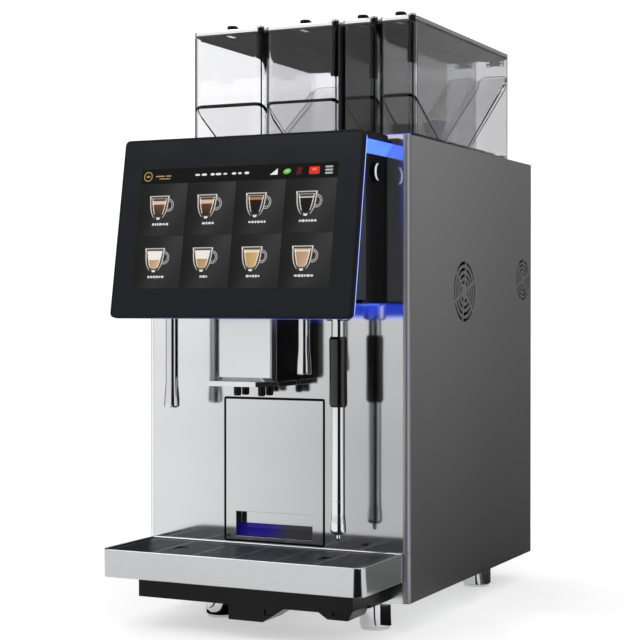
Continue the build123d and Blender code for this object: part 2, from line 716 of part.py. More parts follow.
# ---------------------------------------------------------------- head block, hood and lock
def head_block():
    """Black block behind the screen: two hollow cheeks joined over the spout head's channel."""
    front = -POD_BACK + POD_PLAY
    solid = block((-POD_HALF, POD_HALF), (front, 0), (BLOCK_LOW, BLOCK_HIGH))
    solid += block((-POD_HALF, POD_HALF), (-BLOCK_LEDGE, front), (BLOCK_LOW, BLOCK_LOW + BLOCK_WALL))
    solid -= block(CHANNEL_X, (-BLOCK_LEDGE - 1, 1), (BLOCK_LOW - 1, BLOCK_HIGH - BLOCK_WALL * 4))
    wall = BLOCK_WALL
    for x in ((-POD_HALF, CHANNEL_X[0]), (CHANNEL_X[1], POD_HALF)):
        solid -= block((x[0] + wall, x[1] - wall), (front + wall, 1), (BLOCK_LOW + wall, BLOCK_HIGH - wall))
    hole = lock_axis(LOCK_CORE_R + SEAT, (POD_HALF - 2 * wall, POD_HALF + 1))
    solid -= hole
    lift = SHEET / 2
    for x in (WATER_X, DRINK_X):
        solid -= upright(x, -SPOUT_REACH + 12, (BLOCK_LOW - 1, BLOCK_LOW + wall + lift), SPOUT_BORE + 1)
    return solid


def lock_axis(radius, x):
    return across(x, -LOCK_REACH, LOCK_Z, radius)


def lock_ring():
    ring = lock_axis(LOCK_RING_R, (POD_HALF, POD_HALF + LOCK_PROUD))
    ring = chamfer(ring.faces().sort_by(Axis.X)[-1].edges(), 1.2)
    return ring - lock_axis(LOCK_CORE_R + SEAT, (POD_HALF - 1, POD_HALF + LOCK_PROUD + 1))


def lock_cylinder():
    core = lock_axis(LOCK_CORE_R, (POD_HALF - BLOCK_WALL - 8, POD_HALF + LOCK_PROUD - 0.6))
    core = core + lock_axis(LOCK_CORE_R - 2, (POD_HALF - BLOCK_WALL - 18, POD_HALF - BLOCK_WALL - 8))
    tongue_x = (POD_HALF - BLOCK_WALL - 20, POD_HALF - BLOCK_WALL - 18)
    core += block(tongue_x, (-LOCK_REACH - 5, -LOCK_REACH + 5), (LOCK_Z - 5, LOCK_Z + 12))
    slot_x = (POD_HALF + LOCK_PROUD - 6, POD_HALF + LOCK_PROUD + 1)
    return core - block(slot_x, (-LOCK_REACH - 1, -LOCK_REACH + 1), (LOCK_Z - 4, LOCK_Z + 4))


def hood_roof():
    top = HOOD_LOW + HOOD_THICK
    half = SCREEN_WIDTH / 2
    roof = block((-half, half), (-HOOD_FRONT, -HOOD_BACK), (HOOD_LOW, top))
    roof = chamfer(roof.faces().sort_by(Axis.Z)[-1].edges(), 1.5)
    roof += block((-half + 2, half - 2), (-HOOD_BACK, 0), (HOOD_LOW, HOOD_LOW + LIP_THICK))
    return roof


def light_diffuser():
    """Flared translucent band between the head block and the hood."""
    top, low = SCREEN_WIDTH / 2, POD_HALF
    outline = ((-top, HOOD_LOW), (-low, BLOCK_HIGH), (low, BLOCK_HIGH), (top, HOOD_LOW))
    return front_profile(outline, (-HOOD_FRONT + 1, 0))


# ---------------------------------------------------------------- spout head
def head_cover():
    """Bright front cover, folded round the front and the lower edge of the head."""
    high = HEAD_HIGH
    low = HEAD_LOW
    outline = (
        (-HEAD_REACH, low + COVER_CHAMFER), (-HEAD_REACH, high), (-HEAD_REACH + COVER_DEEP, high),
        (-HEAD_REACH + COVER_DEEP, low), (-HEAD_REACH + COVER_CHAMFER, low),
    )
    shape = side_profile(outline, HEAD_X)
    corner = shape.edges().filter_by(Axis.Z).group_by(Axis.Y)[0]
    shape = chamfer(corner, COVER_EDGE)
    inner = block(
        (HEAD_X[0] + COVER_SHEET, HEAD_X[1] - COVER_SHEET),
        (-HEAD_REACH + COVER_SHEET, 0),
        (low + COVER_CHAMFER, high + 1),
    )
    return shape - inner


def head_body():
    x = HEAD_X
    inside = (x[0] + COVER_SHEET, x[1] - COVER_SHEET)
    low, high = HEAD_LOW, HEAD_HIGH
    body = block(inside, (-HEAD_REACH + COVER_SHEET, -HEAD_REACH + COVER_DEEP), (low + COVER_CHAMFER, high))
    body += block(x, (-HEAD_REACH + COVER_DEEP, -RUN * 2), (low, high))
    slot = (HEAD_SHIFT - CARRIAGE_WIDTH / 2, HEAD_SHIFT + CARRIAGE_WIDTH / 2)
    body += block(slot, (-RUN * 3, 12), (high - CARRIAGE_TALL, high))
    return body


def head_plate():
    """Polished base plate with an ear at the left and a cut front corner at the right."""
    x = HEAD_X
    front = -HEAD_REACH - PLATE_PROUD
    points = (
        (x[0] - PLATE_EAR, front), (x[1] - PLATE_CUT[0], front), (x[1], front + PLATE_CUT[1]),
        (x[1], -PLATE_BACK), (x[0], -PLATE_BACK), (x[0], -HEAD_REACH + COVER_DEEP),
        (x[0] - PLATE_EAR, -HEAD_REACH + COVER_DEEP),
    )
    return plan_profile(points, (HEAD_LOW - PLATE_THICK, HEAD_LOW))


def nozzle_spots():
    spots = []
    for row in (0, 1):
        for side in (-1, 1):
            y = -HEAD_REACH + NOZZLE_FRONT + row * NOZZLE_ROWS
            spots.append((HEAD_SHIFT + side * NOZZLE_SPREAD / 2, y))
    return spots


def spout_nozzles():
    out = []
    top = HEAD_LOW - PLATE_THICK
    for x, y in nozzle_spots():
        points = (
            (NOZZLE_BORE, top), (NOZZLE_R, top), (NOZZLE_R, top - NOZZLE_LONG + 1.5),
            (NOZZLE_R - 1, top - NOZZLE_LONG), (NOZZLE_BORE, top - NOZZLE_LONG),
        )
        out.append(turned(x, y, points))
    return Compound(out)


# ---------------------------------------------------------------- fixed spouts
def spout(x, radius, low):
    """Straight polished tube with a flared mouth, screwed to the underside of the head block."""
    flare = radius + SPOUT_FLARE
    points = (
        (SPOUT_BORE, low + 1), (flare - 1.2, low), (flare, low + 2.5), (flare - 0.4, low + 9),
        (radius, low + SPOUT_TAPER), (radius, BLOCK_LOW), (SPOUT_BORE, BLOCK_LOW),
    )
    tube = turned(x, -SPOUT_REACH, points)
    nut = turned(x, -SPOUT_REACH, (
        (radius, BLOCK_LOW - NUT_TALL), (radius + NUT_WALL, BLOCK_LOW - NUT_TALL + 1),
        (radius + NUT_WALL, BLOCK_LOW), (radius, BLOCK_LOW),
    ))
    return tube + nut


# ---------------------------------------------------------------- steam wand
def wand_bracket():
    """Fixed elbow block under the head block that carries the wand's swivel collar."""
    top = BLOCK_LOW
    low = WAND_PIVOT_Z + COLLAR_HIGH + RUN / 2
    body = upright(WAND_X, -WAND_REACH, (low, top), COLLAR_R + BRACKET_RIM)
    body += block((WAND_X - BRACKET_HALF, WAND_X + BRACKET_HALF), (-WAND_REACH, -BRACKET_BACK), (low, top))
    stem = upright(WAND_X, -WAND_REACH, (WAND_PIVOT_Z + BALL_R + RUN, low + 1), STEM_R)
    return body + stem


def wand_collar():
    """Slotted swivel collar that turns about the vertical axis and holds the wand's ball."""
    pivot = WAND_PIVOT_Z
    ring = upright(WAND_X, -WAND_REACH, (pivot - COLLAR_LOW, pivot + COLLAR_HIGH), COLLAR_R)
    ring = chamfer(ring.faces().sort_by(Axis.Z)[0].edges(), 1.5)
    ball = Pos(WAND_X, PANEL_Y - WAND_REACH, FLOOR + pivot) * Sphere(BALL_R + SEAT)
    ring -= ball
    slot = WAND_R + RUN
    ring -= block(
        (WAND_X - slot, WAND_X + slot),
        (-WAND_REACH - 2 * COLLAR_R, -WAND_REACH),
        (pivot - 2 * COLLAR_R, pivot + COLLAR_SLOT_OVER),
    )
    ring -= upright(WAND_X, -WAND_REACH, (pivot - 2 * COLLAR_R, pivot), slot)
    ring -= upright(WAND_X, -WAND_REACH, (pivot, pivot + 2 * COLLAR_R), STEM_R + SEAT)
    return ring


def wand_tube():
    """Steam tube with its ball at the top."""
    pivot = WAND_PIVOT_Z
    seat = WAND_LOW + TIP_LONG
    tube = upright(WAND_X, -WAND_REACH, (seat, pivot), WAND_R)
    tube += Pos(WAND_X, PANEL_Y - WAND_REACH, FLOOR + pivot) * Sphere(BALL_R)
    return tube - upright(WAND_X, -WAND_REACH, (seat - 1, pivot - 4), WAND_BORE)


def wand_grip():
    c = GRIP_CHAMFER
    points = (
        (WAND_R, GRIP_LOW), (GRIP_R - c / 2, GRIP_LOW), (GRIP_R, GRIP_LOW + c), (GRIP_R, GRIP_HIGH - c),
        (GRIP_R - c / 2, GRIP_HIGH), (WAND_R, GRIP_HIGH),
    )
    return turned(WAND_X, -WAND_REACH, points)


def wand_tip():
    top, low = WAND_LOW + TIP_LONG, WAND_LOW
    points = (
        (0, low), (1.6, low), (2.4, low + 2), (2.6, low + 7), (TIP_R - 2, low + 8.5), (TIP_R, low + 11),
        (TIP_R - 0.2, low + 17), (WAND_R, top), (0, top),
    )
    return turned(WAND_X, -WAND_REACH, points)


# ---------------------------------------------------------------- hoppers
def hopper_z():
    low = CABINET_HEIGHT + HOPPER_LIFT
    return (low, low + HOPPER_TALL)


def hopper(x):
    """Clear tub with two inner ramps that lead to a round outlet spout."""
    low, high = hopper_z()
    y = (HOPPER_FRONT, HOPPER_FRONT + HOPPER_DEPTH)
    wall = HOPPER_WALL
    tub = round_uprights(block(x, y, (low, high)), HOPPER_ROUND)
    inner_x = (x[0] + wall, x[1] - wall)
    inside = block(inner_x, (y[0] + wall, y[1] - wall), (low + wall, high + 1))
    tub -= round_uprights(inside, HOPPER_ROUND - wall)
    sheet = RAMP_SHEET
    front, back = y[0] + wall / 2, y[1] - wall / 2
    floor = low + wall / 2
    front_ramp = ((front, low + FRONT_RAMP_Z), (front, low + FRONT_RAMP_Z - sheet * 1.5),
                  (front + FRONT_RAMP_Y - 2 * sheet, floor), (front + FRONT_RAMP_Y, floor),
                  (front + wall, low + FRONT_RAMP_Z))
    rear_ramp = ((back, low + REAR_RAMP_Z), (back, low + REAR_RAMP_Z - sheet * 1.5),
                 (back - REAR_RAMP_Y + 2 * sheet, floor), (back - REAR_RAMP_Y, floor),
                 (back - wall, low + REAR_RAMP_Z))
    for ramp in (front_ramp, rear_ramp):
        tub += side_profile(ramp, (x[0] + wall / 2, x[1] - wall / 2)) & round_uprights(
            block(x, y, (low, high)), HOPPER_ROUND)
    middle = (x[0] + x[1]) / 2
    tub += upright(middle, outlet_y(), (low - OUTLET_LONG, low + wall / 2), OUTLET_BORE / 2 + OUTLET_WALL)
    tub -= upright(middle, outlet_y(), (low - OUTLET_LONG - 1, low + wall + 1), OUTLET_BORE / 2)
    for side in (-1, 1):
        ear_x = sorted((middle + side * EAR_IN, middle + side * EAR_OUT))
        tub += ear(ear_x, high, LID_HINGE_R + EAR_WALL)
    return tub


def hinge_y():
    return HOPPER_FRONT + HOPPER_DEPTH + LID_HINGE_R + 2


def ear(x, z, radius):
    """Hinge ear on the rear wall of a hopper with the bore for the lid's pin."""
    y = hinge_y()
    z -= radius + 1
    piece = across(x, y, z, radius) + block(x, (HOPPER_FRONT + HOPPER_DEPTH - 1, y), (z - radius, z + radius))
    return piece - across((x[0] - 1, x[1] + 1), y, z, LID_HINGE_R - 1 + SEAT)


def hinge_z():
    return hopper_z()[1] - LID_HINGE_R - 2.5


def lid(x):
    """Flat lid with a locating rim, a rear hinge barrel and a hole for the lock knob."""
    low = hopper_z()[1] + RUN
    y = (HOPPER_FRONT, HOPPER_FRONT + HOPPER_DEPTH)
    plate = round_uprights(block(x, y, (low, low + LID_THICK)), HOPPER_ROUND)
    plate = chamfer(plate.faces().sort_by(Axis.Z)[-1].edges(), 0.8)
    inset = HOPPER_WALL + RUN
    for side in (0, 1):
        edge = x[side] + (inset if side == 0 else -inset)
        rim = sorted((edge, edge + (2 if side == 0 else -2)))
        plate += block(rim, (y[0] + HOPPER_ROUND + 4, y[1] - HOPPER_ROUND - 4), (low - LID_LIP, low + 1))
    middle = (x[0] + x[1]) / 2
    barrel_x = (middle - EAR_IN + RUN, middle + EAR_IN - RUN)
    barrel = across(barrel_x, hinge_y(), hinge_z(), LID_HINGE_R + 0.5)
    barrel += block(barrel_x, (hinge_y() - 1.5, hinge_y() + LID_HINGE_R + 0.5), (hinge_z(), low + LID_THICK))
    barrel += block(barrel_x, (y[1] - 1, hinge_y() + LID_HINGE_R + 0.5), (low, low + LID_THICK))
    barrel += across((middle - EAR_OUT, middle + EAR_OUT), hinge_y(), hinge_z(), LID_HINGE_R - 1)
    plate += barrel
    return plate - upright(middle, y[0] + KNOB_SET, (low - 1, low + LID_THICK + 1), KNOB_STEM_R + SEAT)


def lid_knob(x):
    """Quarter-turn lock: knob above the lid, stem through it and a cam tongue under the lid."""
    middle = (x[0] + x[1]) / 2
    y = HOPPER_FRONT + KNOB_SET
    low = hopper_z()[1] + RUN
    top = low + LID_THICK
    knob = upright(middle, y, (top + RUN / 2, top + KNOB_TALL), KNOB_R)
    knob = chamfer(knob.faces().sort_by(Axis.Z)[-1].edges(), 1)
    knob += upright(middle, y, (low - CAM_THICK - RUN, top + 1), KNOB_STEM_R)
    knob += block((middle - 3, middle + 3), (y - CAM_LONG, y + 3), (low - CAM_THICK - RUN, low - RUN))
    return knob


def hopper_divider():
    """Opaque sheet that stands between the bean hoppers and the powder hoppers."""
    left = hopper_spans()[1][1] + HOPPER_GAP / 2
    y = (HOPPER_FRONT, HOPPER_FRONT + HOPPER_DEPTH)
    z = (CABINET_HEIGHT, CABINET_HEIGHT + HOPPER_LIFT + HOPPER_TALL - 2)
    return block((left, left + DIVIDER_SHEET), y, z)


# ---------------------------------------------------------------- inside
def inner_frame():
    """Folded carrier: drawer tunnel, uprights and the shelf under the grinders."""
    side = DRAWER_HALF + TUNNEL_GAP
    y = (SHEET + 8, TUNNEL_DEPTH)
    frame = block((-side - SHEET, side + SHEET), y, (DRAWER_LOW - SHEET, DRAWER_LOW))
    for s in (-1, 1):
        x = sorted((s * side, s * (side + SHEET)))
        frame += block(x, y, (SHEET, SHELF_Z))
    frame += block((-INSIDE, INSIDE), (SHEET + 8, CABINET_DEPTH - SHEET), (SHELF_Z, SHELF_Z + SHELF_SHEET))
    for s in (-1, 1):
        x = sorted((s * (side - 30), s * (side - 30 - SHEET)))
        frame += block(x, (CABINET_DEPTH - SHEET - 40, CABINET_DEPTH - SHEET), (SHEET, SHELF_Z))
    for x in hopper_spans()[:2]:
        frame -= upright((x[0] + x[1]) / 2, outlet_y(), (SHELF_Z - 1, SHELF_Z + SHELF_SHEET + 1), 12)
    return frame


def grinder(x):
    """Grinder with its motor below the burr chamber and the neck that takes the hopper spout."""
    middle = (x[0] + x[1]) / 2
    low = SHELF_Z + SHELF_SHEET
    neck_top = CABINET_HEIGHT - SHEET - RUN
    body = upright(middle, outlet_y(), (low, low + 78), GRINDER_R)
    body = chamfer(body.faces().sort_by(Axis.Z)[-1].edges(), 6)
    body += upright(middle, outlet_y(), (low + 77, neck_top), GRINDER_NECK_R)
    bore = OUTLET_BORE / 2 + OUTLET_WALL + LIFT_FIT
    body -= upright(middle, outlet_y(), (neck_top - OUTLET_LONG - 2, neck_top + 1), bore)
    return body


def powder_mixers():
    """Two chutes with their whisk bowls under the powder hoppers."""
    out = []
    for x in hopper_spans()[2:]:
        middle = (x[0] + x[1]) / 2
        low = SHELF_Z + SHELF_SHEET
        top = CABINET_HEIGHT - SHEET - RUN
        bowl = upright(middle, outlet_y(), (low, low + 50), 19)
        bowl += upright(middle, outlet_y(), (low + 49, top), 18)
        bore = OUTLET_BORE / 2 + OUTLET_WALL + LIFT_FIT
        bowl -= upright(middle, outlet_y(), (low + 62, top + 1), bore)
        bowl += along(middle, (outlet_y() + 17, outlet_y() + 66), low + 26, 15)
        out.append(bowl)
    return Compound(out)


def boiler():
    x, y = HALF - BOILER_SPOT[0], CABINET_DEPTH - BOILER_SPOT[1]
    low = 30.0
    points = (
        (0, low), (BOILER_R * 0.6, low + 4), (BOILER_R, low + 22), (BOILER_R, low + BOILER_TALL - 22),
        (BOILER_R * 0.6, low + BOILER_TALL - 4), (0, low + BOILER_TALL),
    )
    tank = turned(x, y, points)
    for dx in (-22, 22):
        tank += upright(x + dx, y, (low + BOILER_TALL - 24, low + BOILER_TALL + 14), 6)
    for angle in (90, 210, 330):
        leg_x = x + 36 * math.cos(math.radians(angle))
        leg_y = y + 36 * math.sin(math.radians(angle))
        tank += upright(leg_x, leg_y, (SHEET, low + 18), 5)
    return tank


def brew_unit():
    """Brewing chamber with its piston housing and the gear motor beside it."""
    low = DRAWER_HIGH + BREW_OVER
    high = SHELF_Z - BREW_UNDER
    y = 70.0
    frame = block((-BREW_WIDTH / 2, BREW_WIDTH / 2), (y, y + BREW_DEPTH), (low, low + 14))
    frame += upright(0, y + 52, (low + 13, high - 58), 32)
    frame += upright(0, y + 52, (high - 59, high - 34), 20)
    frame += block((-BREW_WIDTH / 2, -BREW_WIDTH / 2 + 8), (y + 20, y + 84), (low + 13, high))
    frame += block((BREW_WIDTH / 2 - 8, BREW_WIDTH / 2), (y + 20, y + 84), (low + 13, high))
    frame += block((-BREW_WIDTH / 2, BREW_WIDTH / 2), (y + 20, y + 84), (high - 10, high))
    frame += across((-18, 18), y + 102, low + 30, 17)
    return frame


def water_pump():
    x, y = PUMP_SPOT[0] - HALF, CABINET_DEPTH - PUMP_SPOT[1]
    body = along(x, (y - 40, y + 24), 42, 27)
    body += along(x, (y + 24, y + 52), 42, 19)
    body += block((x - 22, x + 22), (y - 30, y + 16), (SHEET, 34))
    return body + along(x, (y + 52, y + 62), 42, 6)


def power_supply():
    x = (-INSIDE + 13, -INSIDE + 81)
    case = block(x, (60, 200), (30, 100))
    for y in (80, 170):
        case += block(x, (y, y + 10), (SHEET, 31))
    return case


def control_board():
    """Circuit board on standoffs on the left side panel with its larger parts."""
    left = -INSIDE
    top = SHELF_Z - 56
    board = block((left + 12, left + 13.6), (60, 260), (top - 160, top))
    for y in (70, 250):
        for z in (top - 150, top - 10):
            board += across((left, left + 13), y, z, 4)
    board += block((left + 13.6, left + 32), (90, 130), (top - 130, top - 70))
    board += block((left + 13.6, left + 24), (150, 190), (top - 140, top - 20))
    board += block((left + 13.6, left + 28), (210, 240), (top - 110, top - 30))
    return board


def fan_frame(vent):
    """Square fan frame against the right side panel round its round duct."""
    y, z, radius = vent
    x = (INSIDE - FAN_DEPTH, INSIDE)
    half = radius + 2
    body = block(x, (y - half, y + half), (z - half, z + half))
    body -= across((x[0] - 1, x[1] + 1), y, z, radius - 1)
    hub = across((x[0], x[0] + 4), y, z, FAN_HUB_R * 0.8)
    for turn in (0, 90):
        bar = Box(3, 2 * radius, 4)
        hub += Pos(x[0] + 1.5, PANEL_Y + y, FLOOR + z) * Rot(turn + 45, 0, 0) * bar
    hub += across((x[0] + 3, x[0] + 12), y, z, 2)
    return body + hub


def fan_rotor(vent):
    """Hub with pitched blades, turning on the frame's pin."""
    y, z, radius = vent
    base = INSIDE - FAN_DEPTH
    rotor = across((base + 5, base + 15), y, z, FAN_HUB_R)
    reach = radius - 1 - FAN_GAP
    for n in range(FAN_BLADES):
        blade = Pos(0, 0, (reach + FAN_HUB_R - 2) / 2) * Rot(0, 0, 35) * Box(1.6, 11, reach - FAN_HUB_R + 2)
        blade = Rot(360 * n / FAN_BLADES, 0, 0) * blade
        rotor += Pos(base + 10, PANEL_Y + y, FLOOR + z) * blade
    return rotor - across((base, base + 13), y, z, 2 + SEAT)


def power_inlet():
    """Appliance inlet: shrouded recess with three pins."""
    back = CABINET_DEPTH
    x = (INLET_X - INLET_WIDE / 2, INLET_X + INLET_WIDE / 2)
    z = (INLET_Z - INLET_TALL / 2, INLET_Z + INLET_TALL / 2)
    body = block(x, (back - 24, back), z)
    body -= block((x[0] + 2, x[1] - 2), (back - 18, back + 1), (z[0] + 2, z[1] - 2))
    for dx in (-7, 0, 7):
        body += block((INLET_X + dx - 1, INLET_X + dx + 1), (back - 19, back - 3), (INLET_Z - 2, INLET_Z + 2))
    return body


def water_fittings():
    """Water inlet union and drain spigot that stand out through the rear panel."""
    back = CABINET_DEPTH
    union = along(TAP_X, (back - SHEET - 14, back), TAP_Z, TAP_R)
    union -= along(TAP_X, (back - 40, back + 1), TAP_Z, TAP_BORE)
    drain = along(DRAIN_X, (back - SHEET - 20, back), TAP_Z, DRAIN_R)
    drain -= along(DRAIN_X, (back - 40, back + 1), TAP_Z, DRAIN_BORE)
    return Compound([union, drain])


def save(name, solid):
    solid.label = name
    export_step(solid, os.path.join("parts", name + ".step"))


def main():
    os.makedirs("parts", exist_ok=True)
    save("side_panel_left", side_panel(-1))
    save("side_panel_right", side_panel(1))
    save("corner_trims", corner_trims())
    save("front_panel", front_panel())
    save("lower_front_plate", lower_front_plate())
    save("base_plate", base_plate())
    save("top_deck", top_deck())
    save("rear_panel", rear_panel())
    save("feet", feet())
    save("drip_tray", drip_tray())
    save("drip_grid", drip_grid())
    save("lower_housing", lower_housing())
    save("drawer_front", drawer_front())
    save("grounds_bin", grounds_bin())
    save("screen_bezel", screen_bezel())
    save("display_glass", display_glass())
    save("screen_pod", screen_pod())
    save("screen_hinge", screen_hinge())
    save("head_block", head_block())
    save("lock_ring", lock_ring())
    save("lock_cylinder", lock_cylinder())
    save("hood_roof", hood_roof())
    save("light_diffuser", light_diffuser())
    save("head_cover", head_cover())
    save("head_body", head_body())
    save("head_plate", head_plate())
    save("spout_nozzles", spout_nozzles())
    save("hot_water_spout", spout(WATER_X, WATER_R, BLOCK_LOW - WATER_LONG))
    save("drink_spout", spout(DRINK_X, DRINK_R, BLOCK_LOW - DRINK_LONG))
    save("wand_bracket", wand_bracket())
    save("wand_collar", wand_collar())
    save("wand_tube", wand_tube())
    save("wand_grip", wand_grip())
    save("wand_tip", wand_tip())
    for number, x in enumerate(hopper_spans(), 1):
        save(f"hopper_{number}", hopper(x))
        save(f"lid_{number}", lid(x))
        save(f"lid_knob_{number}", lid_knob(x))
    save("hopper_divider", hopper_divider())
    save("inner_frame", inner_frame())
    save("grinders", Compound([grinder(x) for x in hopper_spans()[:2]]))
    save("powder_mixers", powder_mixers())
    save("boiler", boiler())
    save("brew_unit", brew_unit())
    save("water_pump", water_pump())
    save("power_supply", power_supply())
    save("control_board", control_board())
    save("fan_frames", Compound([fan_frame(BIG_VENT), fan_frame(SMALL_VENT)]))
    save("fan_rotor_big", fan_rotor(BIG_VENT))
    save("fan_rotor_small", fan_rotor(SMALL_VENT))
    save("power_inlet", power_inlet())
    save("water_fittings", water_fittings())


main()
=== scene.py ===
"""Hot coffee vending machine: finishes, small parts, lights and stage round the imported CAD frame.

Units are metres and +Z is up. Every piece is a surface worked out from two parameters and stands in its place.
"""

import math

import bpy
import numpy as np
from bpy.props import FloatProperty, FloatVectorProperty, PointerProperty
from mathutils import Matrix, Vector


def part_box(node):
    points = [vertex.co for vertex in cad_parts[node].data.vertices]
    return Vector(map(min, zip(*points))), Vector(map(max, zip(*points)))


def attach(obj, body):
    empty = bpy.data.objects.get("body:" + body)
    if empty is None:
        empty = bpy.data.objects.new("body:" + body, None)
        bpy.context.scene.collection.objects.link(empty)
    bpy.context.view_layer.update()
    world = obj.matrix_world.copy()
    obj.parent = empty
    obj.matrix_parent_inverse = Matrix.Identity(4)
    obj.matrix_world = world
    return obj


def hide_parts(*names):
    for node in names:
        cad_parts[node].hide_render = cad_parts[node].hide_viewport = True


bl_info = {
    "name": "Coffee Machine Looks",
    "version": (1, 0, 0),
    "blender": (4, 5, 0),
    "location": "View3D > Sidebar > Coffee",
    "description": "Finishes, small parts and a studio for the coffee machine's CAD frame",
    "category": "Add Mesh",
}

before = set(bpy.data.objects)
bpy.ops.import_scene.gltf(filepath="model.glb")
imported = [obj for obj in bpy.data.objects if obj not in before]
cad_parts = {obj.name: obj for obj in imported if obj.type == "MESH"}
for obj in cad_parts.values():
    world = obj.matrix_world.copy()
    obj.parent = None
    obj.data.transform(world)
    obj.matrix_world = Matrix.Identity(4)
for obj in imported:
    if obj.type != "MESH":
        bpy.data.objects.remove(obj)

TAU = 2 * math.pi


# ---------------------------------------------------------------- shader arithmetic
class Flow:
    """An output of a shader node; arithmetic on it adds Math nodes to the same material."""

    def __init__(self, tree, output):
        self.tree = tree
        self.output = output

    def node(self, kind, settings=None, inputs=None, output=0):
        """Adds one node of any type with its settings and inputs and wraps one of its outputs."""
        made = self.tree.nodes.new(kind)
        for name, value in (settings or {}).items():
            setattr(made, name, value)
        for name, value in (inputs or {}).items():
            feed(self.tree, made.inputs[name], value)
        return Flow(self.tree, made.outputs[output])

    def math(self, operation, *values):
        return self.node("ShaderNodeMath", {"operation": operation}, dict(enumerate(values)))

    def __add__(self, other):
        return self.math("ADD", self, other)

    def __radd__(self, other):
        return self.math("ADD", other, self)

    def __sub__(self, other):
        return self.math("SUBTRACT", self, other)

    def __rsub__(self, other):
        return self.math("SUBTRACT", other, self)

    def __mul__(self, other):
        return self.math("MULTIPLY", self, other)

    def __rmul__(self, other):
        return self.math("MULTIPLY", other, self)

    def between(self, low, high):
        """0 below low, 1 above high and a smooth step from one to the other."""
        settings = {"interpolation_type": "SMOOTHSTEP"}
        return self.node("ShaderNodeMapRange", settings, {"Value": self, "From Min": low, "From Max": high})

    def ramp(self, low, high):
        """Runs from low to high while this runs from 0 to 1."""
        return self.node("ShaderNodeMapRange", None, {"Value": self, "To Min": low, "To Max": high})

    def blend(self, first, second):
        """Colour that goes from first to second while this goes from 0 to 1."""
        inputs = {"Factor": self, 6: first, 7: second}  # 6 and 7 are the colour inputs, output 2 is the colour
        return self.node("ShaderNodeMix", {"data_type": "RGBA"}, inputs, 2)


def feed(tree, socket, value):
    """Links a flow to a socket, or sets the socket to a constant; colours may leave out their alpha."""
    if isinstance(value, Flow):
        tree.links.new(value.output, socket)
    elif socket.type == "RGBA":
        socket.default_value = (*value[:3], 1.0)
    else:
        socket.default_value = value


class Finish:
    """A procedural material: flows from the piece's own coordinates into one Principled surface."""

    def __init__(self, name, **constants):
        self.material = bpy.data.materials.new(name)
        self.material.use_nodes = True
        self.tree = self.material.node_tree
        self.surface = self.tree.nodes["Principled BSDF"]
        where = self.tree.nodes.new("ShaderNodeTexCoord")
        self.where = Flow(self.tree, where.outputs["Object"])
        self.set(**constants)

    def set(self, **values):
        for name, value in values.items():
            feed(self.tree, self.surface.inputs[name.replace("_", " ")], value)
        return self

    def noise(self, scale, stretch=(1.0, 1.0, 1.0), detail=3.0, rough=0.5):
        """Cloudy value from 0 to 1; stretch draws the clouds out along an axis."""
        spread = self.where.node("ShaderNodeMapping", None, {"Vector": self.where, "Scale": stretch})
        inputs = {"Vector": spread, "Scale": scale, "Detail": detail, "Roughness": rough}
        return self.where.node("ShaderNodeTexNoise", None, inputs)

    def part(self, axis):
        """One of the three coordinates of the piece."""
        return self.where.node("ShaderNodeSeparateXYZ", None, {"Vector": self.where}, "XYZ".index(axis))

    def facing(self, blend):
        """0 where the surface faces the eye and 1 at its outline."""
        return self.where.node("ShaderNodeLayerWeight", None, {"Blend": blend}, 1)

    def attribute(self, name):
        return self.where.node("ShaderNodeAttribute", {"attribute_name": name}, None, 0)

    def rounded(self, radius):
        """Normals bent round each edge as if it had this radius."""
        return self.where.node("ShaderNodeBevel", {"samples": 4}, {"Radius": radius})

    def bump(self, height, strength, distance, normal=None):
        inputs = {"Height": height, "Strength": strength, "Distance": distance}
        if normal is not None:
            inputs["Normal"] = normal
        return self.where.node("ShaderNodeBump", None, inputs)


# ---------------------------------------------------------------- finishes of the record's slots
def mirror_steel(look):
    """Polished front steel: painted shade darkens it to the right and towards the tray, and painted light adds a blue
    wash under the head, a faint grey glow along its right edge and a blue tint higher up that edge.
    """
    out = Finish("mirror_steel", Metallic=1.0, Emission_Strength=0.8)
    lines = out.noise(120.0, (0.05, 1.0, 3.0), 2.0, 0.6)
    cloud = out.noise(6.0, (1.0, 1.0, 0.6))
    x, z = out.part("X"), out.part("Z")
    # Painted light and shade: brighter to the left and upwards. The cloud and brush lines are the steel's own random
    # tone.
    lit = (1 - x.between(-0.2, 0.19)) * 0.45 + z.between(0.2, 0.38) * 0.37 + cloud * 0.06 + lines * 0.02
    out.set(Base_Color=lit.blend(look.panel_dark, look.panel))
    out.set(Roughness=(cloud * 0.8 + lines * 0.2).ramp(look.panel_gloss * 1.2, look.panel_gloss * 0.8))
    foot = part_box("head_block")[0].z
    # Painted light: a blue wash just under the head block, a blue tint and a faint grey glow along the right edge of
    # the panel
    wash = z.between(foot - 0.026, foot - 0.006) * (1 - z.between(foot - 0.003, foot + 0.001)) * x.between(-0.02, 0.05)
    edge = x.between(0.159, 0.17) * z.between(foot + 0.04, foot + 0.13) * 0.25
    haze = (x.between(0.146, 0.15) * z.between(foot, foot + 0.004)).blend((0.0, 0.0, 0.0), (0.035, 0.035, 0.036))
    out.set(Emission_Color=(wash + edge).blend(haze, (0.02, 0.05, 0.6)))
    out.set(Normal=out.bump(lines, 0.02, 0.00002, out.rounded(0.0006)))
    return out


def trim_steel():
    """Bright corner steel with painted shade that darkens it to the right, as it turns from the lamp."""
    out = Finish("trim_steel", Metallic=1.0)
    lines = out.noise(60.0, (1.0, 1.0, 0.1), 2.0)
    # Painted shade: darker to the right. The brush lines are the steel's own grain.
    side = out.part("X").between(-0.17, 0.17)
    out.set(Base_Color=(side * 0.9 + lines * 0.1).blend((0.85, 0.85, 0.87), (0.33, 0.33, 0.36)))
    out.set(Roughness=lines.ramp(0.48, 0.4), Normal=out.rounded(0.002))
    return out


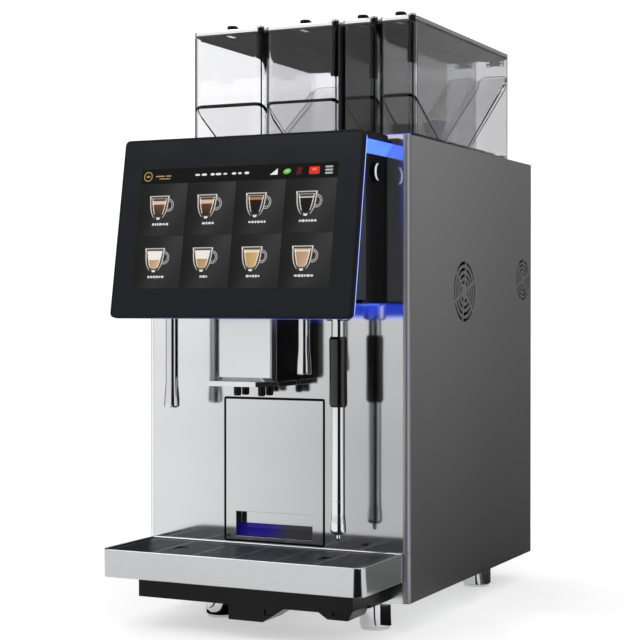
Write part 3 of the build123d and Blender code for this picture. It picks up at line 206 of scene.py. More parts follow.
def divider_grey():
    """Smoked grey sheet between the bean and the powder tubs."""
    out = Finish("divider_grey", Specular_IOR_Level=0.0)
    haze = out.noise(7.0, (1.0, 1.0, 2.0))
    # Painted shade: darker upwards. The haze noise is the sheet's own random tone.
    tone = haze * 0.3 + out.part("Z").between(0.57, 0.72) * 0.7
    out.set(Base_Color=tone.blend((0.045, 0.045, 0.048), (0.026, 0.026, 0.027)), Roughness=haze.ramp(0.35, 0.5))
    return out


def steel(name, colour, roughness, brush, stretch, edge=0.0006):
    """Stainless steel: brush lines drawn out along one axis over slow cloudy wear, with eased edges."""
    out = Finish(name, Metallic=1.0)
    lines = out.noise(brush, stretch, 2.0, 0.6)
    cloud = out.noise(9.0, (1.0, 1.0, 0.6))
    shade = (lines * 0.6 + cloud * 0.4).between(0.2, 0.8)
    dark = tuple(0.9 * c for c in colour)
    out.set(Base_Color=shade.blend(dark, colour))
    out.set(Roughness=shade.ramp(roughness * 1.25, roughness * 0.8))
    out.set(Normal=out.bump(lines, 0.05, 0.00004, out.rounded(edge)))
    return out


def painted_grey():
    """Grey powder coat: fine orange peel, a slow change of tone, and painted shade that darkens it towards the floor
    and to the rear.
    """
    out = Finish("painted_grey", Metallic=0.35, Coat_Roughness=0.35)
    peel = out.noise(900.0, detail=1.0)
    tone = out.noise(3.0, detail=2.0)
    # Painted light and shade: brighter upwards, darker towards the floor and to the rear
    rise = out.part("Z") * 1.2 + 0.035
    back = out.part("Y").between(-0.2, 0.3)
    light = rise * (1 - back * 0.38) + tone * 0.06
    out.set(Base_Color=light.blend((0.012, 0.012, 0.013), (0.26, 0.26, 0.265)))
    out.set(Roughness=tone.ramp(0.42, 0.52), Coat_Weight=peel.ramp(0.05, 0.2))
    out.set(Normal=out.bump(peel, 0.06, 0.00005, out.rounded(0.0012)))
    return out


def plastic(name, low, high, roughness, grain, edge=0.0008, shine=0.14):
    """Moulded plastic: a fine eroded grain, blotches of sheen and eased edges."""
    out = Finish(name, Specular_IOR_Level=shine)
    fine = out.noise(grain, detail=2.0)
    slow = out.noise(14.0)
    out.set(Base_Color=slow.between(0.25, 0.75).blend(low, high))
    out.set(Roughness=(fine * 0.5 + slow * 0.5).ramp(roughness * 1.2, roughness * 0.8))
    out.set(Normal=out.bump(fine, 0.08, 0.00004, out.rounded(edge)))
    return out


def glowing(name, deep, bright, strength):
    """Lit acrylic: bright where seen straight on and deeper towards its ends and outline."""
    out = Finish(name, Roughness=0.3, Emission_Strength=strength)
    cloud = out.noise(22.0, (1.0, 1.0, 2.0))
    level = (1 - out.facing(0.35)) * 0.7 + cloud * 0.3
    colour = level.between(0.1, 0.9).blend(deep, bright)
    out.set(Base_Color=colour, Emission_Color=colour)
    return out


def clear_plastic(name, tint):
    """Clear tub plastic: faint moulding waves, a cool tint, and painted shade that darkens its outlines as seen from
    the eye.
    """
    out = Finish(name, Transmission_Weight=1.0, IOR=1.36)
    waves = out.noise(30.0, (1.0, 1.0, 0.3), 2.0)
    # Painted shade: the outline, as seen from the eye, is tinted darker
    rim = out.facing(0.3).between(0.35, 0.95)
    out.set(Base_Color=rim.blend((tint, tint, tint * 1.01), (0.3, 0.31, 0.33)))
    out.set(Roughness=waves.ramp(0.0, 0.04))
    return out


def grid_steel():
    """Dark coated sheet with rubbed, slightly brighter spots."""
    out = Finish("grid_steel", Metallic=0.35, Specular_IOR_Level=0.3)
    rub = out.noise(70.0, (1.0, 3.0, 1.0), 4.0, 0.65)
    out.set(Base_Color=rub.between(0.35, 0.8).blend((0.01, 0.011, 0.018), (0.036, 0.038, 0.06)))
    out.set(Roughness=rub.ramp(0.5, 0.28), Normal=out.bump(rub, 0.1, 0.00005, out.rounded(0.0004)))
    return out


def display_glass():
    """Black cover glass: almost even, with faint smears in its gloss."""
    out = Finish("display_glass", IOR=1.5, Specular_IOR_Level=0.16)
    smear = out.noise(12.0, (1.0, 1.0, 2.5), 3.0)
    out.set(Base_Color=smear.blend((0.0032, 0.0038, 0.0062), (0.0048, 0.0056, 0.0086)))
    out.set(Roughness=smear.between(0.3, 0.8).ramp(0.16, 0.24))
    return out


def grip_rubber():
    """Black silicone sleeve with a soft sheen and a trace of dust."""
    out = Finish("grip_rubber", Specular_IOR_Level=0.5)
    dust = out.noise(160.0, detail=4.0)
    out.set(Base_Color=dust.between(0.55, 0.9).blend((0.0015, 0.0015, 0.0018), (0.004, 0.004, 0.0045)))
    out.set(Roughness=dust.ramp(0.14, 0.22), Normal=out.bump(dust, 0.05, 0.00005, out.rounded(0.001)))
    return out


def brass():
    """Yellow brass with duller, browner patches."""
    out = Finish("brass", Metallic=1.0)
    patch = out.noise(45.0, detail=4.0)
    out.set(Base_Color=patch.between(0.3, 0.75).blend((0.36, 0.24, 0.09), (0.66, 0.48, 0.2)))
    out.set(Roughness=patch.ramp(0.4, 0.22), Normal=out.rounded(0.0006))
    return out


def board_green():
    """Circuit board lacquer with a faint lattice of buried tracks."""
    out = Finish("board_green")
    lattice = out.noise(260.0, (1.0, 6.0, 1.0), 1.0).between(0.45, 0.55)
    out.set(Base_Color=lattice.blend((0.006, 0.05, 0.02), (0.015, 0.1, 0.04)), Roughness=lattice.ramp(0.25, 0.4))
    return out


LINE_WAVE = 9000.0            # radians per metre of the fine lines across the lit screen


def screen_light():
    """Lit screen: the tint of each point, crossed by fine upright lines."""
    out = Finish("screen_light", Roughness=0.3, Specular_IOR_Level=0.05, Emission_Strength=1.0)
    tint = out.attribute("tint")
    lines = out.part("X") * LINE_WAVE
    level = lines.math("SINE", lines).ramp(0.94, 1.0)
    scaled = out.where.node("ShaderNodeVectorMath", {"operation": "SCALE"}, {0: tint, "Scale": level})
    out.set(Base_Color=(0.004, 0.004, 0.004), Emission_Color=scaled)
    return out


def tinted_gloss():
    """Glossy moulding that takes the tint of each point, with faint specks. The tint also glows faintly as painted
    light.
    """
    out = Finish("tinted_gloss", Specular_IOR_Level=0.2, Emission_Strength=0.35)
    speck = out.noise(300.0).ramp(0.85, 1.1)
    inputs = {0: out.attribute("tint"), "Scale": speck}
    shade = out.where.node("ShaderNodeVectorMath", {"operation": "SCALE"}, inputs)
    # Painted light: the tint glows as well as colouring the surface
    out.set(Base_Color=shade, Emission_Color=shade, Roughness=speck * 0.25)
    return out


def make_finishes(look):
    """Every slot of the record with its procedural material, then the finishes that only some parts have."""
    flat, even = (1.0, 1.0, 40.0), (1.0, 1.0, 1.0)
    return {
        "painted_grey": painted_grey(),
        "mirror_steel": mirror_steel(look),
        "trim_steel": trim_steel(),
        "divider_grey": divider_grey(),
        "satin_steel": steel("satin_steel", tuple(look.steel), 0.2, 60.0, flat, 0.0012),
        "tray_steel": steel("tray_steel", tuple(0.74 * c for c in look.steel), 0.1, 60.0, flat, 0.001),
        "zinc_steel": steel("zinc_steel", (0.5, 0.51, 0.53), 0.38, 25.0, even),
        "polished_steel": steel("polished_steel", (0.68, 0.68, 0.7), 0.06, 30.0, (1.0, 1.0, 0.2)),
        "grid_steel": grid_steel(),
        "black_plastic": plastic("black_plastic", (0.0015, 0.0015, 0.0017), (0.0035, 0.0035, 0.004), 0.26, 600.0),
        "charcoal_plastic": plastic("charcoal_plastic", look.bezel_dark, look.bezel, 0.42, 800.0, 0.0015, 0.12),
        "display_glass": display_glass(),
        "blue_diffuser": glowing("blue_diffuser", (0.01, 0.03, 0.75), tuple(look.glow), 1.3),
        "grip_rubber": grip_rubber(),
        "clear_plastic": clear_plastic("clear_plastic", 0.93),
        "smoked_plastic": clear_plastic("smoked_plastic", 0.73),
        "boiler_steel": steel("boiler_steel", (0.55, 0.55, 0.57), 0.3, 50.0, flat),
        "brass": brass(),
        "board_green": board_green(),
        "screen_light": screen_light(),
        "tinted_gloss": tinted_gloss(),
        "blue_line": glowing("blue_line", (0.05, 0.1, 1.0), (0.25, 0.35, 1.0), 1.2),
        "blue_lamp": glowing("blue_lamp", (0.01, 0.02, 0.9), tuple(look.glow), 0.3),
        "violet_lamp": glowing("violet_lamp", (0.06, 0.03, 0.6), (0.16, 0.1, 0.85), 0.8),
        "band_steel": steel("band_steel", (0.86, 0.86, 0.87), 0.16, 60.0, even, 0.0002),
        "lid_grey": plastic("lid_grey", (0.032, 0.032, 0.033), (0.042, 0.042, 0.044), 0.35, 700.0, shine=0.0),
        "violet_plastic": plastic("violet_plastic", (0.035, 0.03, 0.11), (0.07, 0.06, 0.2), 0.3, 300.0),
        "highlight_white": plastic("highlight_white", (0.7, 0.7, 0.72), (0.85, 0.85, 0.87), 0.3, 300.0, 0.0002, 0.5),
        "pod_grey": plastic("pod_grey", (0.02, 0.023, 0.032), (0.03, 0.034, 0.045), 0.4, 700.0),
        "dark_edge": plastic("dark_edge", (0.002, 0.002, 0.0025), (0.005, 0.005, 0.006), 0.35, 500.0, shine=0.03),
        "edge_plastic": plastic("edge_plastic", (0.05, 0.05, 0.055), (0.12, 0.12, 0.13), 0.15, 400.0),
    }


finishes = {}


# ---------------------------------------------------------------- surfaces
def quads(rows, columns, wrap=False):
    """Faces of a rows by columns grid of points; wrap closes each row on itself."""
    row, column = np.meshgrid(np.arange(rows - 1), np.arange(columns if wrap else columns - 1), indexing="ij")
    after = (column + 1) % columns
    here, up = row * columns, (row + 1) * columns
    return np.stack([here + column, here + after, up + after, up + column], -1).reshape(-1, 4)


def lathe(profile, centre, turns=48):
    """Turned shape: the point at (s, a) is centre + (r(s) cos a, r(s) sin a, z(s)), with both ends capped flat.
    The profile runs upwards for faces that look outwards."""
    profile = np.asarray(profile, float)
    angle = np.linspace(0, TAU, turns, endpoint=False)
    radius, height = profile[:, :1], profile[:, 1:]
    x = centre[0] + radius * np.cos(angle)
    y = centre[1] + radius * np.sin(angle)
    z = centre[2] + height + 0 * angle
    points = np.stack([x, y, z], -1).reshape(-1, 3)
    last = (len(profile) - 1) * turns
    caps = [list(range(turns))[::-1], list(range(last, last + turns))]
    return points, quads(len(profile), turns, True), caps


def smooth(knots, steps=10):
    """Profile through the knots with eased steps: each stretch is s*s*(3 - 2s) between two knots across,
    and even along."""
    knots = np.asarray(knots, float)
    s = np.linspace(0, 1, steps, endpoint=False)[None, :, None]
    eased = s * s * (3 - 2 * s)
    first, second = knots[:-1, None, :], knots[1:, None, :]
    across = first[..., :1] + (second[..., :1] - first[..., :1]) * eased
    along = first[..., 1:] + (second[..., 1:] - first[..., 1:]) * s
    body = np.concatenate([across, along], -1).reshape(-1, 2)
    return np.concatenate([body, knots[-1:]])


def rounded_loop(half_x, half_y, radius, steps=8):
    """Closed outline of a rounded rectangle, counter-clockwise: four quarter circles at (+-(hx-r), +-(hy-r))."""
    angle = (np.arange(4)[:, None] + np.linspace(0, 1, steps)) * (math.pi / 2)
    sign_x = np.array([1, -1, -1, 1])[:, None]
    sign_y = np.array([1, 1, -1, -1])[:, None]
    x = sign_x * (half_x - radius) + radius * np.cos(angle)
    y = sign_y * (half_y - radius) + radius * np.sin(angle)
    return np.stack([x, y], -1).reshape(-1, 2)


def ring_along(path, normal, section):
    """Closed tube: the section (outwards, upwards) is carried along a closed path that lies in a plane with this
    normal. At each path point, outwards is tangent x normal."""
    path, section = np.asarray(path, float), np.asarray(section, float)
    normal = np.asarray(normal, float) / np.linalg.norm(normal)
    tangent = np.roll(path, -1, 0) - np.roll(path, 1, 0)
    tangent /= np.linalg.norm(tangent, axis=1, keepdims=True)
    outward = np.cross(tangent, normal)
    points = path[:, None] + section[None, :, :1] * outward[:, None] + section[None, :, 1:] * normal
    count, around = len(path), len(section)
    row, column = np.meshgrid(np.arange(count), np.arange(around), indexing="ij")
    up, after = (row + 1) % count, (column + 1) % around
    faces = np.stack([row * around + column, row * around + after, up * around + after, up * around + column], -1)
    return points.reshape(-1, 3), faces.reshape(-1, 4)[:, ::-1], []


def circle(radius, steps=10, squash=1.0):
    """Section of a bead: a circle, or an ellipse when squashed."""
    angle = np.linspace(0, TAU, steps, endpoint=False)
    return np.stack([radius * np.cos(angle), squash * radius * np.sin(angle)], -1)


def slab(half_x, half_y, radius, thick, ease):
    """Rounded plate as one surface: rings of the outline run in from the back, round the eased edge and to the
    front, so that the point at (s, t) is outline(t) shrunk by in(s) at height h(s)."""
    turn = np.linspace(0, math.pi / 2, 5)
    inset = np.concatenate([[0.0], ease * (1 - np.cos(turn))])
    height = np.concatenate([[0.0], thick - ease + ease * np.sin(turn)])
    rings = [rounded_loop(half_x - i, half_y - i, max(radius - i, radius * 0.2)) for i in inset]
    points = np.concatenate([np.column_stack([r, np.full(len(r), h)]) for r, h in zip(rings, height)])
    count = len(rings[0])
    last = (len(rings) - 1) * count
    caps = [list(range(count))[::-1], list(range(last, last + count))]
    return points, quads(len(rings), count, True), caps


def placed(patch, origin, across, up):
    """Moves a patch drawn in (x, y, z) to an origin with the given directions of its x and y."""
    across, up = np.asarray(across, float), np.asarray(up, float)
    out = np.cross(across, up)
    points = patch[0]
    moved = np.asarray(origin, float) + points[:, :1] * across + points[:, 1:2] * up + points[:, 2:3] * out
    return moved, patch[1], patch[2]


def piece(name, patches, body, finish, tints=None, shade_smooth=True):
    """One object from several patches, riding on a CAD body, with its finish and record slot."""
    offsets = np.cumsum([0] + [len(p[0]) for p in patches[:-1]])
    points = np.concatenate([p[0] for p in patches])
    faces = np.concatenate([p[1] + o for p, o in zip(patches, offsets)]).tolist()
    faces += [[v + int(o) for v in cap] for p, o in zip(patches, offsets) for cap in p[2]]
    mesh = bpy.data.meshes.new(name)
    mesh.from_pydata(points.tolist(), [], faces)
    mesh.validate()
    if tints is not None:
        colour = mesh.attributes.new("tint", "FLOAT_COLOR", "POINT")
        values = np.concatenate([np.concatenate(tints), np.ones((len(points), 1))], 1)
        colour.data.foreach_set("color", values.astype(np.float32).ravel())
    if shade_smooth:
        mesh.polygons.foreach_set("use_smooth", np.ones(len(mesh.polygons), bool))
        mesh.set_sharp_from_angle(angle=math.radians(38))
    mesh.update()
    made = bpy.data.objects.new(name, mesh)
    bpy.context.scene.collection.objects.link(made)
    mesh.materials.append(finish.material)
    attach(made, body)
    return made


def tube_along(path, radius, reference, steps=8):
    """Open round bead: a circle square to the tangent of the path at each point, with both ends capped."""
    path = np.asarray(path, float)
    tangent = np.gradient(path, axis=0)
    tangent /= np.linalg.norm(tangent, axis=1, keepdims=True)
    side = np.cross(tangent, np.asarray(reference, float))
    side /= np.linalg.norm(side, axis=1, keepdims=True)
    over = np.cross(side, tangent)
    angle = np.linspace(0, TAU, steps, endpoint=False)[None, :, None]
    points = path[:, None] + radius * (np.cos(angle) * side[:, None] + np.sin(angle) * over[:, None])
    last = (len(path) - 1) * steps
    caps = [list(range(steps)), list(range(last, last + steps))[::-1]]
    return points.reshape(-1, 3), quads(len(path), steps, True)[:, ::-1], caps


def upright_sheet(path, thick, low, high, steps=6):
    """Closed wall: an open path in plan, offset by its normal times thick for the second face, swept from low to
    high, with both ends and both edges closed."""
    path = np.asarray(path, float)
    tangent = np.gradient(path, axis=0)
    tangent /= np.linalg.norm(tangent, axis=1, keepdims=True)
    inner = path + thick * np.column_stack([-tangent[:, 1], tangent[:, 0]])
    loop = np.concatenate([path, inner[::-1]])
    z = np.linspace(low, high, steps)
    points = np.concatenate([np.column_stack([loop, np.full(len(loop), level)]) for level in z])
    count, last = len(loop), (steps - 1) * len(loop)
    half = len(path)
    edge = np.arange(half - 1)
    strip = np.stack([edge, count - 1 - edge, count - 2 - edge, edge + 1], -1)
    faces = np.concatenate([quads(steps, count, True), strip, strip[:, ::-1] + last])
    return points, faces, []


# ---------------------------------------------------------------- settings
def size(name, text, default, low=0.0, high=1.0):
    return FloatProperty(name=name, description=text, default=default, min=low, max=high, unit="LENGTH", precision=5)


def number(name, text, default, low=0.0, high=1000.0):
    return FloatProperty(name=name, description=text, default=default, min=low, max=high)


def turn(name, text, degrees):
    return FloatProperty(name=name, description=text, default=math.radians(degrees), subtype="ANGLE")


def colour(name, text, default):
    return FloatVectorProperty(name=name, description=text, default=default, subtype="COLOR", min=0.0, max=1.0)


class LookSettings(bpy.types.PropertyGroup):
    """Colours and gloss of the outer skins."""

    # The front steel's painted light and shade run between these two tints
    panel: colour("Front panel", "Tint of the polished front steel where it is brightest", (0.84, 0.845, 0.855))
    panel_dark: colour("Front panel shade", "Tint of the front steel where it is dullest", (0.31, 0.313, 0.316))
    steel: colour("Brushed steel", "Tint of the brushed tray and trims", (0.66, 0.665, 0.68))
    bezel: colour("Bezel", "Charcoal of the screen frame and lids", (0.0036, 0.0042, 0.0068))
    bezel_dark: colour("Bezel shade", "Darker blotches of the charcoal", (0.0028, 0.0033, 0.0053))
    glow: colour("Accent light", "Bright tone of the blue light", (0.1, 0.26, 1.0))
    panel_gloss: number("Panel roughness", "Blur of the front panel's reflections", 0.09, high=1.0)


class ScreenSettings(bpy.types.PropertyGroup):
    """Sizes of the picture on the leaning screen."""

    lean: turn("Lean", "Lean of the screen from upright", 9.8)
    shift: size("Shift", "Picture centre to the left of the glass centre", 0.0009)
    drop: size("Drop", "Picture centre below the glass centre", 0.0011)
    wide: size("Width", "Width of the lit picture", 0.256)
    tall: size("Height", "Height of the lit picture", 0.143)
    header: size("Header", "Height of the black strip at the top", 0.0178)
    cup: size("Cup width", "Half width of a cup at its rim", 0.0134)
    cup_tall: size("Cup height", "Height of a cup", 0.0277)
    handle: size("Handle", "Half height of a cup's handle", 0.0062)
    lift: size("Lift", "Picture in front of the glass", 0.00012)


class TrimSettings(bpy.types.PropertyGroup):
    """Sizes of beads, lights and turned parts."""

    frame_bead: size("Light frame", "Half width of the lit line behind the screen", 0.0013)
    strip: size("Light strip", "Half width of the strip under the head block", 0.004)
    rim: size("Tray rim", "Radius of the bead round the tray", 0.0011)
    seam: size("Ramp seam", "Radius of the dark seam where a ramp meets a tub wall", 0.0008)
    lip: size("Hopper lip", "Radius of the bead round a hopper's mouth", 0.0008)
    screw: size("Screw head", "Radius of a panel screw's head", 0.0034)
    clip: size("Lid clip", "Radius of the clip on a lid's corner", 0.0042)


class StageSettings(bpy.types.PropertyGroup):
    """Camera, lights and ground."""

    camera: FloatVectorProperty(
        name="Camera", description="Place of the camera", default=(0.8782, -1.8733, 0.3799), unit="LENGTH"
    )
    azimuth: turn("Azimuth", "Turn of the camera about the upright axis", 25.56)
    pitch: turn("Pitch", "Tilt of the camera, down is negative", -0.5)
    lens: number("Lens", "Focal length in millimetres", 89.96, low=1.0)
    sky: number("Sky", "Strength of the even white surround", 1.0)
    ground: number("Ground", "Own light of the white ground and backdrop", 0.5)
    key: number("Key light", "Power of the large light at the upper left in watts", 14.0)
    rim: number("Rim light", "Power of the light at the right in watts", 7.0)


# ---------------------------------------------------------------- the screen's picture
def screen_frame(settings):
    """Centre of the lit picture and the directions of its width and height."""
    low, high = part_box("display_glass")
    up = np.array([0.0, math.sin(settings.lean), math.cos(settings.lean)])
    out = np.array([0.0, -math.cos(settings.lean), math.sin(settings.lean)])
    centre = np.array([(low.x + high.x) / 2, (low.y + high.y) / 2, (low.z + high.z) / 2])
    half_thick = 0.0006
    centre = centre + out * (half_thick + settings.lift) - up * settings.drop
    centre[0] -= settings.shift
    return centre, np.array([1.0, 0.0, 0.0]), up


def bar(x, y, half_x, half_y, power=4.0, columns=18, slant=0.0, height=0.0):
    """Filled superellipse: between the curves y +- half_y (1 - |s|^p)^(1/p), with s along the width; slant shears
    it sideways with height."""
    s = np.sin(np.linspace(-1, 1, columns) * math.pi / 2) * 0.998
    reach = (1 - np.abs(s) ** power) ** (1 / power)
    rows = np.array([-1.0, 1.0])[:, None]
    py = y + half_y * rows * reach
    px = x + half_x * s + slant * rows * reach * half_y
    points = np.stack([px, py, np.full_like(px, height)], -1).reshape(-1, 3)
    return points, quads(2, columns), []


def lifted(patch):
    """The same patch a tenth of a millimetre further out, in front of the tiles."""
    return patch[0] + [0, 0, 0.0001], patch[1], patch[2]


def flat_tint(patch, value):
    return np.tile(np.asarray(value, float), (len(patch[0]), 1))


def tile(x, y, half_x, half_y, steps=14):
    """Backdrop of one drink: an even grid whose tone climbs to the upper right with a soft slanted sheen."""
    u, v = np.meshgrid(np.linspace(-1, 1, steps), np.linspace(-1, 1, steps))
    points = np.stack([x + u * half_x, y + v * half_y, 0 * u], -1).reshape(-1, 3)
    rise = np.clip(0.5 + 0.32 * u + 0.1 * v, 0, 1)
    sheen = np.exp(-((u - 0.55 * v - 0.35) ** 2) / 0.35)
    tone = 0.003 + 0.02 * rise + 0.016 * sheen
    return (points, quads(steps, steps), []), np.stack([tone, tone, tone * 1.02], -1).reshape(-1, 3)


# a drink: level of its liquid, share of that which is foam, then foam, upper and lower colours
DRINKS = (
    (0.78, 0.2, (0.75, 0.55, 0.44), (0.2, 0.075, 0.045), (0.008, 0.005, 0.004)),
    (0.78, 0.22, (0.72, 0.48, 0.34), (0.16, 0.055, 0.03), (0.008, 0.005, 0.004)),
    (0.8, 0.12, (0.42, 0.2, 0.08), (0.012, 0.008, 0.007), (0.006, 0.005, 0.005)),
    (0.78, 0.07, (0.6, 0.57, 0.52), (0.007, 0.007, 0.007), (0.005, 0.005, 0.005)),
    (0.86, 0.42, (0.88, 0.85, 0.8), (0.5, 0.3, 0.13), (0.62, 0.45, 0.26)),
    (0.86, 0.4, (0.86, 0.83, 0.78), (0.42, 0.22, 0.09), (0.55, 0.38, 0.2)),
    (0.84, 0.1, (0.84, 0.76, 0.62), (0.6, 0.38, 0.16), (0.55, 0.36, 0.16)),
    (0.84, 0.1, (0.8, 0.66, 0.52), (0.5, 0.31, 0.19), (0.55, 0.36, 0.24)),
)


def cup(x, y, settings, drink):
    """Double-walled glass: at height t its half width is W (1 - 0.12 (1 - t) - 0.5 (1 - t)^4). The tint of a point
    comes from how far across and how high it lies: clear outline, liquid, foam, rim and foot."""
    level, foam, foam_tint, high_tint, low_tint = drink
    count = 56
    u, t = np.meshgrid(np.linspace(-1, 1, count), np.linspace(0, 1, count))
    half = settings.cup * (1 - 0.12 * (1 - t) - 0.5 * (1 - t) ** 4)
    sag = 0.0009 * (1 - u**2)
    px = x + u * half
    py = y + (t - 0.5) * settings.cup_tall - sag * (1 - t) ** 2
    points = np.stack([px, py, np.full_like(px, 0.0001)], -1).reshape(-1, 3)

    def where(mask, value, base):
        return np.where(mask[..., None], np.asarray(value, float), base)

    across = np.abs(u)
    wall = 0.2 + 0.22 * (1 - t)
    tint = 0.05 + 0.1 * (across[..., None] > 0.9) * np.ones(3)
    fill = (across < 1 - wall) & (t > 0.13 + 0.12 * u**2) & (t < level)
    depth = np.clip((level - t) / level, 0, 1)[..., None]
    body = np.asarray(high_tint) * (1 - depth) + np.asarray(low_tint) * depth
    body = body * (0.75 + 0.5 * (u[..., None] + 1) / 2)
    tint = np.where(fill[..., None], body, tint)
    tint = where(fill & (t > level * (1 - foam)), foam_tint, tint)
    line = (across > 0.87) | ((np.abs(across - 0.93 + wall) < 0.04) & (t > 0.2) & (t < 0.86))
    tint = where(line, (0.85, 0.8, 0.74), tint)
    tint = where((across > 0.945) & (t < 0.9), (0.16, 0.15, 0.14), tint)
    tint = where((t > 0.955) | ((t > 0.855) & (t < 0.885)), (0.55, 0.52, 0.48), tint)
    tint = where((t < 0.075) & (across < 0.35), (0.85, 0.82, 0.78), tint)
    tint = where((t < 0.05) & (across >= 0.35), (0.03, 0.03, 0.03), tint)
    return (points, quads(count, count), []), tint.reshape(-1, 3)


def cup_handle(x, y, settings):
    """Handle: the band between two ellipses, open towards the cup, lighter along both edges."""
    a, s = np.meshgrid(np.radians(np.linspace(-108, 108, 40)), np.linspace(-1, 1, 9))
    radius = settings.handle + 0.0014 * s
    centre = x + settings.cup * 0.96
    px = centre + radius * 0.9 * np.cos(a)
    py = y + 0.08 * settings.cup_tall + radius * np.sin(a)
    points = np.stack([px, py, np.full_like(px, 0.00008)], -1).reshape(-1, 3)
    tone = 0.08 + 0.75 * (np.abs(s) > 0.55)
    tint = np.stack([tone, tone * 0.95, tone * 0.9], -1).reshape(-1, 3)
    return (points, quads(9, 40)[:, ::-1], []), tint


def header_marks(settings):
    """Plain marks of the header: a gold ring, neutral bars, a rising wedge, a leaf, two red marks and a menu."""
    half, mid = settings.wide / 2, settings.tall / 2 - settings.header / 2

    def place(share):
        return -half + settings.wide * share

    white, gold, grey = (0.85, 0.85, 0.85), (0.42, 0.29, 0.12), (0.42, 0.45, 0.45)
    marks = []
    for share, wide, high, tint in (
        (0.1, 0.0065, 0.0008, gold), (0.145, 0.0035, 0.0008, gold), (0.125, 0.0078, 0.0006, gold),
        (0.297, 0.0032, 0.0011, white), (0.332, 0.0034, 0.0013, white), (0.375, 0.0026, 0.0014, white),
        (0.405, 0.0036, 0.0013, white), (0.44, 0.0024, 0.001, white), (0.485, 0.0028, 0.0013, white),
        (0.515, 0.0022, 0.0011, white), (0.55, 0.003, 0.0014, white),
    ):
        drop = 0.0032 if share == 0.125 else 0.0
        marks.append((bar(place(share), mid - drop, wide, high, 3.0), tint))
    ring = ring_along(
        np.column_stack([rounded_loop(0.0052, 0.0052, 0.0048), np.zeros(32)]) + [place(0.036), mid, 0.0002],
        (0, 0, 1), circle(0.0006, 6, 0.3),
    )
    marks.append((ring, gold))
    marks.append((bar(place(0.036), mid, 0.0026, 0.0012, 2.0), gold))
    steps = np.linspace(0, 1, 12)
    wedge_x = place(0.668) + 0.0095 * steps
    wedge = np.stack([np.stack([wedge_x, np.full(12, mid - 0.0034), 0 * steps], -1),
                      np.stack([wedge_x, mid - 0.003 + 0.0068 * steps, 0 * steps], -1)]).reshape(-1, 3)
    marks.append(((wedge, quads(2, 12), []), white))
    marks.append((bar(place(0.752), mid, 0.0048, 0.0032, 2.0, slant=0.35), (0.16, 0.5, 0.09)))
    marks.append((bar(place(0.752), mid + 0.0004, 0.003, 0.0008, 2.0, slant=0.35, height=0.0001), (0.5, 0.8, 0.3)))
    marks.append((bar(place(0.812), mid, 0.003, 0.0042, 6.0, slant=0.2), (0.13, 0.004, 0.006)))
    marks.append((bar(place(0.886), mid, 0.0066, 0.0044, 8.0), (0.72, 0.03, 0.018)))
    marks.append((bar(place(0.886), mid + 0.0012, 0.003, 0.0016, 4.0, height=0.0001), (0.9, 0.16, 0.08)))
    for level in (-1, 0, 1):
        marks.append((bar(place(0.957), mid + level * 0.0036, 0.0048, 0.0011, 6.0), grey))
    return marks


def label_bars(x, y, seed):
    """Neutral bars where a drink's name would stand: a few rounded blocks of uneven width."""
    rng = np.random.default_rng(seed)
    widths = rng.uniform(0.0011, 0.0021, rng.integers(3, 7))
    starts = np.cumsum(np.concatenate([[0.0], 2 * widths[:-1] + 0.0007])) + widths
    starts -= (starts[-1] + widths[-1]) / 2
    return [bar(x + at, y, half, rng.uniform(0.0011, 0.0015), 4.0, 10) for at, half in zip(starts, widths)]


class COFFEE_OT_screen_picture(bpy.types.Operator):
    """Draws the black header with its plain marks and the eight drink tiles on the cover glass"""

    bl_idname = "coffee.screen_picture"
    bl_label = "Add screen picture"

    def execute(self, context):
        s = context.scene.coffee_screen
        origin, across, up = screen_frame(s)
        finish = finishes["screen_light"]
        black = bar(0.0, s.tall / 2 - s.header / 2, s.wide / 2, s.header / 2, 60.0, 40)
        drawn = [(black, flat_tint(black, (0.0006, 0.0006, 0.0008)))]
        half_x, half_y = s.wide / 8, (s.tall - s.header) / 4
        for row in (0, 1):
            for column in range(4):
                x = -s.wide / 2 + half_x * (2 * column + 1)
                y = s.tall / 2 - s.header - half_y * (2 * row + 1)
                drawn.append(tile(x, y, half_x - 0.0002, half_y - 0.0002))
                for mark in label_bars(x - 0.001, y - half_y * 0.56, 10 * row + column):
                    drawn.append((lifted(mark), flat_tint(mark, (0.72, 0.71, 0.69))))
        for mark, tint in header_marks(s):
            drawn.append((lifted(mark), flat_tint(mark, tint)))
        patches = [placed(patch, origin, across, up) for patch, _ in drawn]
        piece("screen_picture", patches, "screen", finish, [t for _, t in drawn], False)
        return {"FINISHED"}


class COFFEE_OT_screen_drinks(bpy.types.Operator):
    """Draws the eight glass cups of coffee on the tiles"""

    bl_idname = "coffee.screen_drinks"
    bl_label = "Add drinks"

    def execute(self, context):
        s = context.scene.coffee_screen
        origin, across, up = screen_frame(s)
        drawn = []
        half_x, half_y = s.wide / 8, (s.tall - s.header) / 4
        for number, drink in enumerate(DRINKS):
            row, column = divmod(number, 4)
            x = -s.wide / 2 + half_x * (2 * column + 1) - 0.0045
            y = s.tall / 2 - s.header - half_y * (2 * row + 1) + half_y * 0.09
            drawn.append(cup_handle(x, y, s))
            drawn.append(cup(x, y, s, drink))
        patches = [placed(lifted(patch), origin, across, up) for patch, _ in drawn]
        tints = [tint for _, tint in drawn]
        piece("screen_drinks", patches, "screen", finishes["screen_light"], tints, False)
        return {"FINISHED"}


